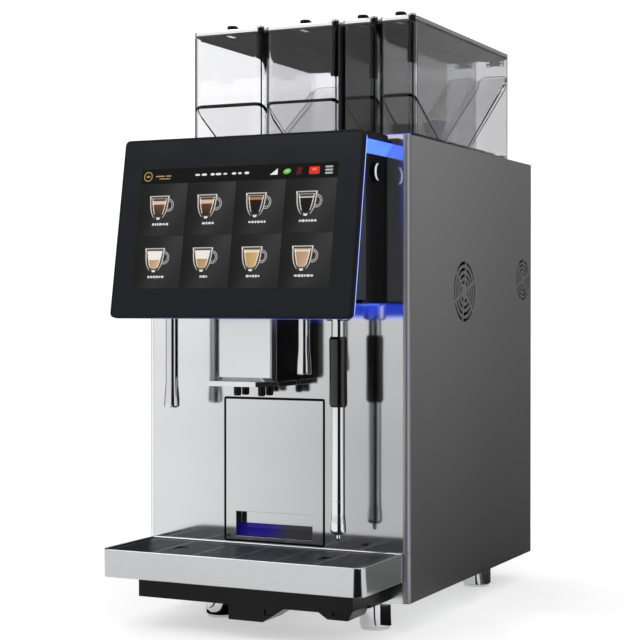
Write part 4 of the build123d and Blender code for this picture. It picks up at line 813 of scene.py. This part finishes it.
class COFFEE_OT_blue_lights(bpy.types.Operator):
    """Adds the lit line behind the screen frame and the light strips under the head block and by the hoppers"""

    bl_idname = "coffee.blue_lights"
    bl_label = "Add blue lights"

    def execute(self, context):
        s, t = context.scene.coffee_screen, context.scene.coffee_trim
        low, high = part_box("screen_bezel")
        centre, across, up = screen_frame(s)
        out = np.cross(across, up)
        thick = 0.008
        half_x = (high.x - low.x) / 2
        half_y = (high.z - low.z - thick * math.sin(s.lean)) / math.cos(s.lean) / 2
        loop = rounded_loop(half_x - t.frame_bead, half_y - t.frame_bead, 0.006)
        back = centre + up * s.drop - out * (s.lift + thick + t.frame_bead * 0.55)
        back[0] += s.shift
        path = back + loop[:, :1] * across + loop[:, 1:] * up
        ring = ring_along(path, out, circle(t.frame_bead, 10, 0.5))
        piece("screen_light_line", [ring], "screen", finishes["blue_line"])
        block_low, block_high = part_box("head_block")
        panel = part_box("front_panel")[0].y
        x = np.linspace(block_high.x - 0.112, block_high.x - 0.004, 16)
        path = np.column_stack([x, np.full(16, panel - 0.009), np.full(16, block_low.z - 0.0012)])
        strip = tube_along(path, t.strip * 0.3, (0, 0, 1), 12)
        piece("under_light", [strip], "cabinet", finishes["blue_lamp"])
        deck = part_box("top_deck")[1].z
        x = np.linspace(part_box("hopper_3")[0].x + 0.004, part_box("hopper_4")[1].x - 0.004, 12)
        path = np.column_stack([x, np.full(12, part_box("hopper_3")[0].y - 0.003), np.full(12, deck + 0.0014)])
        bead = tube_along(path, 0.0012, (0, 0, 1), 10)
        piece("deck_light", [bead], "cabinet", finishes["violet_lamp"])
        return {"FINISHED"}


# ---------------------------------------------------------------- turned parts
class COFFEE_OT_turned_parts(bpy.types.Operator):
    """Stands finer turned shapes in for the two plain spouts, the wand's grip and its tip"""

    bl_idname = "coffee.turned_parts"
    bl_label = "Add turned parts"

    def execute(self, context):
        chrome, rubber = finishes["polished_steel"], finishes["grip_rubber"]
        for node, radius in (("hot_water_spout", 0.0075), ("drink_spout", 0.007)):
            low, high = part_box(node)
            at = ((low.x + high.x) / 2, (low.y + high.y) / 2, low.z)
            tall, nut = high.z - low.z, radius + 0.004
            flare = radius + 0.0018
            outside = smooth([
                (flare - 0.0012, 0.0), (flare, 0.002), (flare - 0.0001, 0.006), (radius, 0.034), (radius, tall - 0.012),
                (nut - 0.0006, tall - 0.0119), (nut, tall - 0.011), (nut, tall - 0.0006), (nut - 0.0006, tall),
            ], 6)
            mouth = np.array([(0.0038, 0.02), (0.004, 0.0012), (0.0052, 0.0), (flare - 0.0012, 0.0)])
            spout = lathe(np.concatenate([mouth[:-1], outside]), at, 56)
            made = piece(node + "_turned", [spout], "cabinet", chrome)
            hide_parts(node)
        low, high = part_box("wand_grip")
        at, tall = ((low.x + high.x) / 2, (low.y + high.y) / 2, low.z), high.z - low.z
        grip, bore = (high.x - low.x) / 2, 0.0079
        knots = [(bore, 0.0), (grip - 0.0016, 0.0), (grip - 0.0012, 0.0006), (grip, 0.0032), (grip, 0.006),
                 (grip - 0.0003, tall / 2), (grip, tall - 0.006), (grip, tall - 0.0032),
                 (grip - 0.0012, tall - 0.0006), (grip - 0.0016, tall), (bore, tall)]
        made = piece("wand_grip_turned", [lathe(smooth(knots, 6), at, 56)], "steam_wand", rubber)
        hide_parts("wand_grip")
        low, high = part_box("wand_tip")
        at, tall = ((low.x + high.x) / 2, (low.y + high.y) / 2, low.z), high.z - low.z
        tip = (high.x - low.x) / 2
        knots = [(0.0012, 0.0), (0.0022, 0.0012), (0.0026, 0.003), (0.0026, 0.0068), (tip - 0.0024, 0.0082),
                 (tip - 0.0004, 0.0098), (tip, 0.012), (tip - 0.0002, 0.018), (0.0078, 0.032), (0.0078, tall)]
        made = piece("wand_tip_turned", [lathe(smooth(knots, 6), at, 56)], "steam_wand", chrome)
        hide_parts("wand_tip")
        return {"FINISHED"}


class COFFEE_OT_pull_band(bpy.types.Operator):
    """Adds a band along the foot of the drawer's pull recess: painted shade with a painted blue reflection that fades
    out towards the right
    """

    bl_idname = "coffee.pull_band"
    bl_label = "Add pull band"

    def execute(self, context):
        low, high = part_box("drawer_front")
        face, floor, half = low.y, low.z + 0.005, 0.0514
        profile = np.array([(0.0059, 0.0001), (0.0099, 0.0045), (0.0137, 0.0089), (0.01385, 0.0145), (0.01392, 0.0146)])
        x = np.linspace(-half, half, 30)
        points = np.stack([
            np.broadcast_to(x, (5, 30)),
            np.broadcast_to(face + profile[:, :1] - 0.00012, (5, 30)),
            np.broadcast_to(floor + profile[:, 1:] + 0.00012, (5, 30)),
        ], -1).reshape(-1, 3)
        share = np.broadcast_to((x + half) / (2 * half), (5, 30)).reshape(-1, 1)
        # Painted blue reflection on the left, fading into painted shade on the right
        blue, dark = np.array([0.012, 0.006, 0.17]), np.array([0.03, 0.03, 0.035])
        ease = np.clip((share - 0.35) / 0.3, 0, 1)
        band = (points, quads(5, 30), [])
        tints = [blue * (1 - ease) + dark * ease]
        piece("pull_band", [band], "drawer", finishes["tinted_gloss"], tints)
        return {"FINISHED"}


class COFFEE_OT_drawer_bead(bpy.types.Operator):
    """Adds a dark bead round the drawer front as painted shade, widening the dark gap round the drawer"""

    bl_idname = "coffee.drawer_bead"
    bl_label = "Add drawer bead"

    def execute(self, context):
        low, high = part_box("drawer_front")
        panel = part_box("front_panel")[0].y
        half_x, half_z = (high.x - low.x) / 2 + 0.0006, (high.z - low.z) / 2 + 0.0006
        loop = rounded_loop(half_x, half_z, 0.002)
        x, z = (low.x + high.x) / 2 + loop[:, 0], (low.z + high.z) / 2 + loop[:, 1]
        path = np.column_stack([x, np.full(len(loop), panel), z])
        # Painted shade: a dark bead that stands in for the shade in the gap round the drawer
        bead = ring_along(path, (0, -1, 0), circle(0.0015, 8, 0.3))
        piece("drawer_bead", [bead], "cabinet", finishes["dark_edge"])
        return {"FINISHED"}


class COFFEE_OT_lock_sickle(bpy.types.Operator):
    """Adds a painted highlight on the lock's ring: a bright bead along an arc that swells as sin(t) towards its middle
    """

    bl_idname = "coffee.lock_sickle"
    bl_label = "Add lock sickle"

    def execute(self, context):
        low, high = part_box("lock_ring")
        radius = (high.z - low.z) / 2
        turn = np.linspace(math.radians(95), math.radians(265), 28)
        bulge = np.sin(np.linspace(0, math.pi, 28))
        y = (low.y + high.y) / 2 + radius * 0.82 * np.cos(turn)
        z = (low.z + high.z) / 2 + radius * 0.82 * np.sin(turn)
        path = np.column_stack([np.full(28, high.x), y, z])
        grow = 0.0003 + 0.0019 * bulge
        spokes = np.linspace(0, TAU, 10, endpoint=False)
        outward = np.column_stack([np.zeros(28), np.cos(turn), np.sin(turn)])
        flat, proud = np.cos(spokes)[None, :, None], 0.4 * np.sin(spokes)[None, :, None]
        section = flat * outward[:, None] + proud * np.array([1.0, 0, 0])
        points = path[:, None] + grow[:, None, None] * section
        caps = [list(range(10))[::-1], list(range(270, 280))]
        sickle = (points.reshape(-1, 3), quads(28, 10, True), caps)
        # Painted highlight: white plastic where the ring shows its bright crescent
        piece("lock_sickle", [sickle], "cabinet", finishes["highlight_white"])
        return {"FINISHED"}


class COFFEE_OT_tray_trim(bpy.types.Operator):
    """Adds the bright rounded rim of the drip tray"""

    bl_idname = "coffee.tray_trim"
    bl_label = "Add tray rim"

    def execute(self, context):
        t = context.scene.coffee_trim
        low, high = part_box("drip_tray")
        centre = (low + high) / 2
        loop = rounded_loop((high.x - low.x) / 2 - t.rim, (high.y - low.y) / 2 - t.rim, 0.012)
        path = np.column_stack([loop + [centre.x, centre.y], np.full(len(loop), high.z - t.rim * 0.4)])
        rear = path[:, 1] > centre.y
        path[rear, 0] = centre.x + np.sign(path[rear, 0] - centre.x) * ((high.x - low.x) / 2 - t.rim)
        path[rear, 1] = np.where(path[rear, 1] > high.y - t.rim * 1.2, high.y - t.rim, path[rear, 1])
        rim = ring_along(path, (0, 0, 1), circle(t.rim, 10))
        piece("tray_rim", [rim], "tray", finishes["polished_steel"])
        return {"FINISHED"}


# ---------------------------------------------------------------- hoppers
TUB_DEPTH, TUB_WALL, TUB_ROUND = 0.34, 0.0025, 0.011
TUB_BEND = 0.0085            # radius of a ramp seam where it turns from the front wall to the side
RAMPS = ((0.049, 0.08), (0.1115, 0.16))      # rise and run of the front and the rear ramp
BAND_DROP = (0.032, 0.06, 0.066, 0.05)       # how far each hopper's corner band hangs down
LID_PLATE = 0.0045


def tub(number):
    """Middle of a hopper in x, its front, its half width and half depth, and the levels of its foot and mouth."""
    low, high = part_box(f"hopper_{number}")
    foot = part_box("top_deck")[1].z + 0.001
    return (low.x + high.x) / 2, low.y, (high.x - low.x) / 2, TUB_DEPTH / 2, foot, high.z


def ramp_seam(number, seam, top, run, start, way):
    """Bead along a ramp's upper edge, round the front corners and down both side walls: a straight front, two quarter
    circles in plan that sink as 1 - 0.16 t^2, and two straight runs to the foot."""
    middle, _, half_x, _, foot, _ = tub(number)
    inner = half_x - TUB_WALL - seam
    bend = np.linspace(0, 1, 7)
    angle = bend * math.pi / 2
    corner_x = inner - TUB_BEND + TUB_BEND * np.sin(angle)
    corner_y = start + way * (seam + TUB_BEND * (1 - np.cos(angle)))
    corner_z = foot + top * (1 - 0.16 * bend**2)
    right = np.column_stack([corner_x, corner_y, corner_z])[1:]
    share = np.linspace(0, 1, 12)
    run_y = right[-1, 1] + way * run * 0.84 * share
    run_z = right[-1, 2] + (foot + 0.004 - right[-1, 2]) * share
    down = np.column_stack([np.full(12, inner), run_y, run_z])[1:]
    half = np.concatenate([right, down])
    front_x = np.linspace(-1, 1, 17) * (inner - TUB_BEND)
    front = np.column_stack([front_x, np.full(17, start + way * seam), np.full(17, foot + top)])
    path = np.concatenate([half[::-1] * [-1, 1, 1], front, half]) + [middle, 0, 0]
    return tube_along(path, seam, (0.0, float(way), 1.0), 6)


def tub_corner_shade(number, seam):
    """Three dark upright beads as painted shade where the tub's corners show darkest: points on the rounded outline,
    swept upwards.
    """
    middle, front, half_x, half_y, foot, mouth = tub(number)
    angle = np.radians(np.array([-64.0, 45.0, 116.0]))
    side = np.where(np.sin(angle) > 0, 1.0, -1.0)
    fore = np.where(np.cos(angle) > 0, -1.0, 1.0)
    inset = TUB_ROUND - 0.0004
    edge_x = middle + side * (half_x - TUB_ROUND) + inset * np.sin(angle)
    edge_y = front + half_y + fore * (half_y - TUB_ROUND) - inset * np.cos(angle)
    z = np.linspace(foot, mouth - 0.002, 12)
    return [
        tube_along(np.column_stack([np.full(12, x), np.full(12, y), z]), seam * bold, (1, 0, 0), 6)
        for x, y, bold in zip(edge_x, edge_y, (1.6, 1.1, 1.1))
    ]


class COFFEE_OT_tub_trim(bpy.types.Operator):
    """Adds each hopper's lip and dark ramp seams, plus dark upright edges as painted shade and a dark corner band as a
    painted refraction of the lid
    """

    bl_idname = "coffee.tub_trim"
    bl_label = "Add tub trim"

    def execute(self, context):
        t = context.scene.coffee_trim
        for number in (1, 2, 3, 4):
            body, dark = f"hopper_{number}", finishes["dark_edge"]
            middle, front, half_x, half_y, _, mouth = tub(number)
            loop = rounded_loop(half_x - 0.0002, half_y - 0.0002, TUB_ROUND, 8)
            path = np.column_stack([loop + [middle, front + half_y], np.full(len(loop), mouth - t.lip)])
            lip = ring_along(path, (0, 0, 1), circle(t.lip, 8))
            piece(f"hopper_lip_{number}", [lip], body, finishes["edge_plastic"])
            if number != 2:
                walls = ((front + TUB_WALL, 1), (front + TUB_DEPTH - TUB_WALL, -1))
                seams = [ramp_seam(number, t.seam, *ramp, *wall) for ramp, wall in zip(RAMPS, walls)]
                piece(f"ramp_seams_{number}", seams, body, dark)
            # Painted shade: dark beads where the clear corners look darkest
            piece(f"tub_corner_shade_{number}", tub_corner_shade(number, t.seam), body, dark)
            # Painted refraction: a dark sheet standing in for the dark lid seen through the tub's front right corner
            bend = np.linspace(0.1, 1.5, 12)
            inset = TUB_ROUND - TUB_WALL - 0.0002
            right = middle + half_x - TUB_ROUND
            arc = np.column_stack([right + inset * np.sin(bend), front + TUB_ROUND - inset * np.cos(bend)])
            band = upright_sheet(arc, 0.0004, mouth - BAND_DROP[number - 1], mouth - 0.0015)
            piece(f"corner_band_{number}", [band], body, dark)
        return {"FINISHED"}


class COFFEE_OT_lid_trim(bpy.types.Operator):
    """Adds each lid's steel band, corner clip with its ring, and the cap on its knob"""

    bl_idname = "coffee.lid_trim"
    bl_label = "Add lid trim"

    def execute(self, context):
        r = context.scene.coffee_trim.clip
        black, chrome = finishes["black_plastic"], finishes["polished_steel"]
        cap = smooth([(0.0062, -0.004), (0.0064, -0.0008), (0.0058, 0.0004), (0.0009, 0.0008)], 5)
        clip = smooth([(r, -0.002), (r, 0.0062), (r * 0.9, 0.0068), (0.0009, 0.007)], 4)
        ring = smooth([(r + 0.0001, 0.0), (r + 0.0004, 0.0004), (r + 0.0004, 0.0014), (r + 0.0001, 0.0018)], 3)
        for number in (1, 2, 3, 4):
            lid = f"lid_{number}"
            low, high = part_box(f"lid_knob_{number}")
            at = ((low.x + high.x) / 2, (low.y + high.y) / 2, high.z)
            piece(f"knob_cap_{number}", [lathe(cap, at, 32)], f"knob_{number}", black)
            low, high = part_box(lid)
            middle, front, half_x, half_y, _, _ = tub(number)
            loop = rounded_loop(half_x + 0.0001, half_y + 0.0001, TUB_ROUND, 8) + [middle, front + half_y]
            path = np.column_stack([loop, np.full(len(loop), high.z - LID_PLATE / 2)])
            band = ring_along(path, (0, 0, 1), rounded_loop(0.0005, LID_PLATE / 2 + 0.0001, 0.0004, 3))
            piece(f"lid_band_{number}", [band], lid, finishes["band_steel"])
            at = (high.x - r - 0.0006, low.y + r + 0.0006, high.z - LID_PLATE)
            piece(f"lid_clip_{number}", [lathe(clip, at, 28)], lid, black)
            piece(f"lid_clip_ring_{number}", [lathe(ring + [0, LID_PLATE], at, 28)], lid, chrome)
        return {"FINISHED"}


class COFFEE_OT_outlet_cones(bpy.types.Operator):
    """Adds the violet outlet cones in the feet of the two powder hoppers"""

    bl_idname = "coffee.outlet_cones"
    bl_label = "Add outlet cones"

    def execute(self, context):
        knots = [(0.007, 0.0), (0.0085, 0.002), (0.009, 0.008), (0.0135, 0.022), (0.0138, 0.026), (0.0122, 0.0262)]
        for number in (3, 4):
            low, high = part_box(f"hopper_{number}")
            at = ((low.x + high.x) / 2, low.y + 0.118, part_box("top_deck")[1].z + 0.0035)
            cone, violet = lathe(smooth(knots, 5), at, 32), finishes["violet_plastic"]
            piece(f"outlet_cone_{number}", [cone], f"hopper_{number}", violet)
        return {"FINISHED"}


class COFFEE_OT_hopper_collar(bpy.types.Operator):
    """Adds the black collar plate in front of the second hopper"""

    bl_idname = "coffee.hopper_collar"
    bl_label = "Add hopper collar"

    def execute(self, context):
        low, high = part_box("hopper_2")
        plate = slab((high.x - low.x) / 2 + 0.001, 0.006, 0.003, 0.004, 0.001)
        spot = ((low.x + high.x) / 2, low.y - 0.0075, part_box("top_deck")[1].z)
        collar = placed(plate, spot, (1, 0, 0), (0, 1, 0))
        piece("hopper_collar", [collar], "cabinet", finishes["black_plastic"])
        return {"FINISHED"}


class COFFEE_OT_fasteners(bpy.types.Operator):
    """Adds the screws along the two edges of the rear panel"""

    bl_idname = "coffee.fasteners"
    bl_label = "Add fasteners"

    def execute(self, context):
        t = context.scene.coffee_trim
        low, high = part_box("rear_panel")
        r = t.screw
        dome = smooth([(r, 0.0), (r, 0.0008), (r * 0.86, 0.0014), (r * 0.45, 0.0017), (0.0009, 0.0012)], 3)
        head = lathe(dome, (0, 0, 0), 20)
        x, z = np.meshgrid(np.array([-1.0, 0.0, 1.0]), np.linspace(0, 1, 5))
        spots = np.column_stack([
            (low.x + high.x) / 2 + x.ravel() * ((high.x - low.x) / 2 - 0.012),
            np.full(x.size, high.y),
            low.z + 0.014 + z.ravel() * (high.z - low.z - 0.028),
        ])
        spots = spots[np.abs(spots[:, 0]) > 0.05]
        patches = [placed(head, spot, (-1, 0, 0), (0, 0, 1)) for spot in spots]
        piece("rear_screws", patches, "cabinet", finishes["zinc_steel"])
        return {"FINISHED"}


# ---------------------------------------------------------------- CAD nodes and stage
OWN_FINISH = {
    "corner_trims": "trim_steel", "hopper_divider": "divider_grey", "drip_tray": "tray_steel",
    "fan_frames": "black_plastic", "lock_ring": "black_plastic", "lock_cylinder": "black_plastic",
    "screen_pod": "pod_grey", "hopper_3": "smoked_plastic", "hopper_4": "smoked_plastic",
    "lid_1": "lid_grey", "lid_2": "lid_grey", "lid_3": "lid_grey", "lid_4": "lid_grey",
}


class COFFEE_OT_finish_frame(bpy.types.Operator):
    """Makes the procedural finishes and puts one on every CAD node"""

    bl_idname = "coffee.finish_frame"
    bl_label = "Finish the CAD frame"

    def execute(self, context):
        finishes.update(make_finishes(context.scene.coffee_look))
        for name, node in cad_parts.items():
            kept = OWN_FINISH.get(name, node.data.materials[0].name.split(".")[0])
            if kept not in finishes:
                raise RuntimeError(f"{name} has no finish for {kept}")
            node.data.materials.clear()
            node.data.materials.append(finishes[kept].material)
        return {"FINISHED"}


def look_at(made, target):
    """Turns a lamp to face a point."""
    made.rotation_euler = (Vector(target) - made.location).to_track_quat("-Z", "Y").to_euler()


def softbox(name, place, target, wide, tall, power, tint):
    data = bpy.data.lights.new(name, "AREA")
    data.shape = "RECTANGLE"
    data.size, data.size_y = wide, tall
    data.energy = power
    data.color = tint
    made = bpy.data.objects.new(name, data)
    bpy.context.scene.collection.objects.link(made)
    made.location = place
    look_at(made, target)


def stage_sheet(name, path, width, finish):
    """Stage surface: a profile in (y, z) carried along X."""
    x = np.linspace(-width / 2, width / 2, 24)
    path = np.asarray(path, float)
    points = np.stack([
        np.broadcast_to(x, (len(path), 24)),
        np.broadcast_to(path[:, :1], (len(path), 24)),
        np.broadcast_to(path[:, 1:], (len(path), 24)),
    ], -1).reshape(-1, 3)
    mesh = bpy.data.meshes.new(name)
    mesh.from_pydata(points.tolist(), [], quads(len(path), 24).tolist())
    mesh.polygons.foreach_set("use_smooth", np.ones(len(mesh.polygons), bool))
    mesh.materials.append(finish.material)
    made = bpy.data.objects.new(name, mesh)
    bpy.context.scene.collection.objects.link(made)
    return made


def card_finish(name, low, high):
    """Matt card between two grey tones."""
    out = Finish(name, Specular_IOR_Level=0.0)
    mottle = out.noise(5.0)
    out.set(Base_Color=mottle.blend((low, low, low), (high, high, high)), Roughness=mottle.ramp(0.8, 0.9))
    return out


def dark_card(name, azimuth, half_turn, near, far, high, finish, centre=(0.0, 0.0)):
    """Dark card that only shows in glossy surfaces: a profile in (distance, height) from near the centre along the
    floor and then upright, swept about the centre from azimuth - half_turn to azimuth + half_turn."""
    profile = np.array([(near, 0.003), ((near + far) / 2, 0.003), (far, 0.003), (far, high / 2), (far, high)])
    turn = np.radians(azimuth + np.linspace(-1, 1, 14) * half_turn)
    points = np.stack([
        centre[0] + profile[:, :1] * np.sin(turn), centre[1] - profile[:, :1] * np.cos(turn), profile[:, 1:] + 0 * turn,
    ], -1).reshape(-1, 3)
    mesh = bpy.data.meshes.new(name)
    mesh.from_pydata(points.tolist(), [], quads(5, 14).tolist())
    mesh.materials.append(finish.material)
    made = bpy.data.objects.new(name, mesh)
    bpy.context.scene.collection.objects.link(made)
    made.visible_camera = made.visible_diffuse = made.visible_shadow = made.visible_transmission = False
    return made


class COFFEE_OT_stage(bpy.types.Operator):
    """Sets the pale ground, the soft white surround, dark cards for the chrome, two lights and the camera"""

    bl_idname = "coffee.stage"
    bl_label = "Set the stage"

    def execute(self, context):
        s = context.scene.coffee_stage
        ground = Finish("ground", Specular_IOR_Level=0.2)
        paper = ground.noise(3.0)
        ground.set(Base_Color=paper.blend((0.6, 0.6, 0.6), (0.64, 0.64, 0.64)), Roughness=paper.ramp(0.55, 0.65))
        ground.set(Emission_Color=(1.0, 1.0, 1.0), Emission_Strength=s.ground)
        turn = np.linspace(0, math.pi / 2, 16)
        rise = np.column_stack([3.0 + 1.5 * np.sin(turn), 1.5 - 1.5 * np.cos(turn)])
        floor = np.column_stack([np.linspace(-6, 3, 20), np.zeros(20)])
        stage_sheet("ground", np.concatenate([floor, rise[1:], [[4.5, 4.5]]]), 14.0, ground)
        card = card_finish("card", 0.01, 0.02)
        grey = card_finish("grey_card", 0.21, 0.25)
        dark_card("card_front", 36.0, 23.0, 0.36, 3.2, 2.6, card)
        low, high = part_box("feet")
        inset = 0.0155
        for side, x in (("left", low.x + inset), ("right", high.x - inset)):
            for end, y in (("front", low.y + inset), ("rear", high.y - inset)):
                dark_card(f"foot_card_{side}_{end}", 112.0, 56.0, 0.02, 0.15, 0.004, card, (x, y))
                dark_card(f"foot_line_{side}_{end}", 12.0, 6.0, 0.02, 0.15, 0.004, card, (x, y))
        dark_card("card_left", -126.0, 34.0, 0.26, 2.8, 2.6, card)
        dark_card("card_right", 138.0, 40.0, 0.22, 2.8, 2.0, grey)
        world = bpy.data.worlds.new("surround")
        world.use_nodes = True
        shade = world.node_tree.nodes["Background"]
        shade.inputs["Color"].default_value = (1.0, 1.0, 1.0, 1.0)
        shade.inputs["Strength"].default_value = s.sky
        context.scene.world = world
        context.scene.view_settings.view_transform = "Standard"
        softbox("key", (-1.6, -2.2, 2.4), (0, 0, 0.4), 1.6, 1.2, s.key, (1.0, 1.0, 1.0))
        softbox("side", (2.2, -1.4, 1.8), (0.1, 0, 0.4), 0.9, 1.4, s.rim, (1.0, 1.0, 1.0))
        data = bpy.data.cameras.new("camera")
        data.lens = s.lens
        data.sensor_width = 36.0
        data.dof.use_dof = False
        made = bpy.data.objects.new("camera", data)
        context.scene.collection.objects.link(made)
        made.location = s.camera
        made.rotation_euler = (math.pi / 2 + s.pitch, 0.0, s.azimuth)
        context.scene.camera = made
        return {"FINISHED"}


# ---------------------------------------------------------------- add-on
OPERATORS = (
    COFFEE_OT_finish_frame,
    COFFEE_OT_screen_picture,
    COFFEE_OT_screen_drinks,
    COFFEE_OT_blue_lights,
    COFFEE_OT_turned_parts,
    COFFEE_OT_pull_band,
    COFFEE_OT_drawer_bead,
    COFFEE_OT_lock_sickle,
    COFFEE_OT_tray_trim,
    COFFEE_OT_tub_trim,
    COFFEE_OT_lid_trim,
    COFFEE_OT_outlet_cones,
    COFFEE_OT_hopper_collar,
    COFFEE_OT_fasteners,
    COFFEE_OT_stage,
)


class COFFEE_PT_panel(bpy.types.Panel):
    """Sizes, colours and steps of the coffee machine"""

    bl_idname = "COFFEE_PT_panel"
    bl_label = "Coffee machine"
    bl_space_type = "VIEW_3D"
    bl_region_type = "UI"
    bl_category = "Coffee"

    def draw(self, context):
        for holder in SETTINGS:
            box = self.layout.box()
            group = getattr(context.scene, holder)
            for name in group.__annotations__:
                box.prop(group, name)
        for operator in OPERATORS:
            self.layout.operator(operator.bl_idname)


SETTINGS = {
    "coffee_look": LookSettings,
    "coffee_screen": ScreenSettings,
    "coffee_trim": TrimSettings,
    "coffee_stage": StageSettings,
}


def register():
    for name, group in SETTINGS.items():
        bpy.utils.register_class(group)
        setattr(bpy.types.Scene, name, PointerProperty(type=group))
    for made in (*OPERATORS, COFFEE_PT_panel):
        bpy.utils.register_class(made)


def unregister():
    for made in reversed((*OPERATORS, COFFEE_PT_panel)):
        bpy.utils.unregister_class(made)
    for name, group in SETTINGS.items():
        delattr(bpy.types.Scene, name)
        bpy.utils.unregister_class(group)


def main():
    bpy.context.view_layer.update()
    register()
    for operator in OPERATORS:
        group, name = operator.bl_idname.split(".")
        getattr(getattr(bpy.ops, group), name)()


if __name__ == "__main__":
    main()
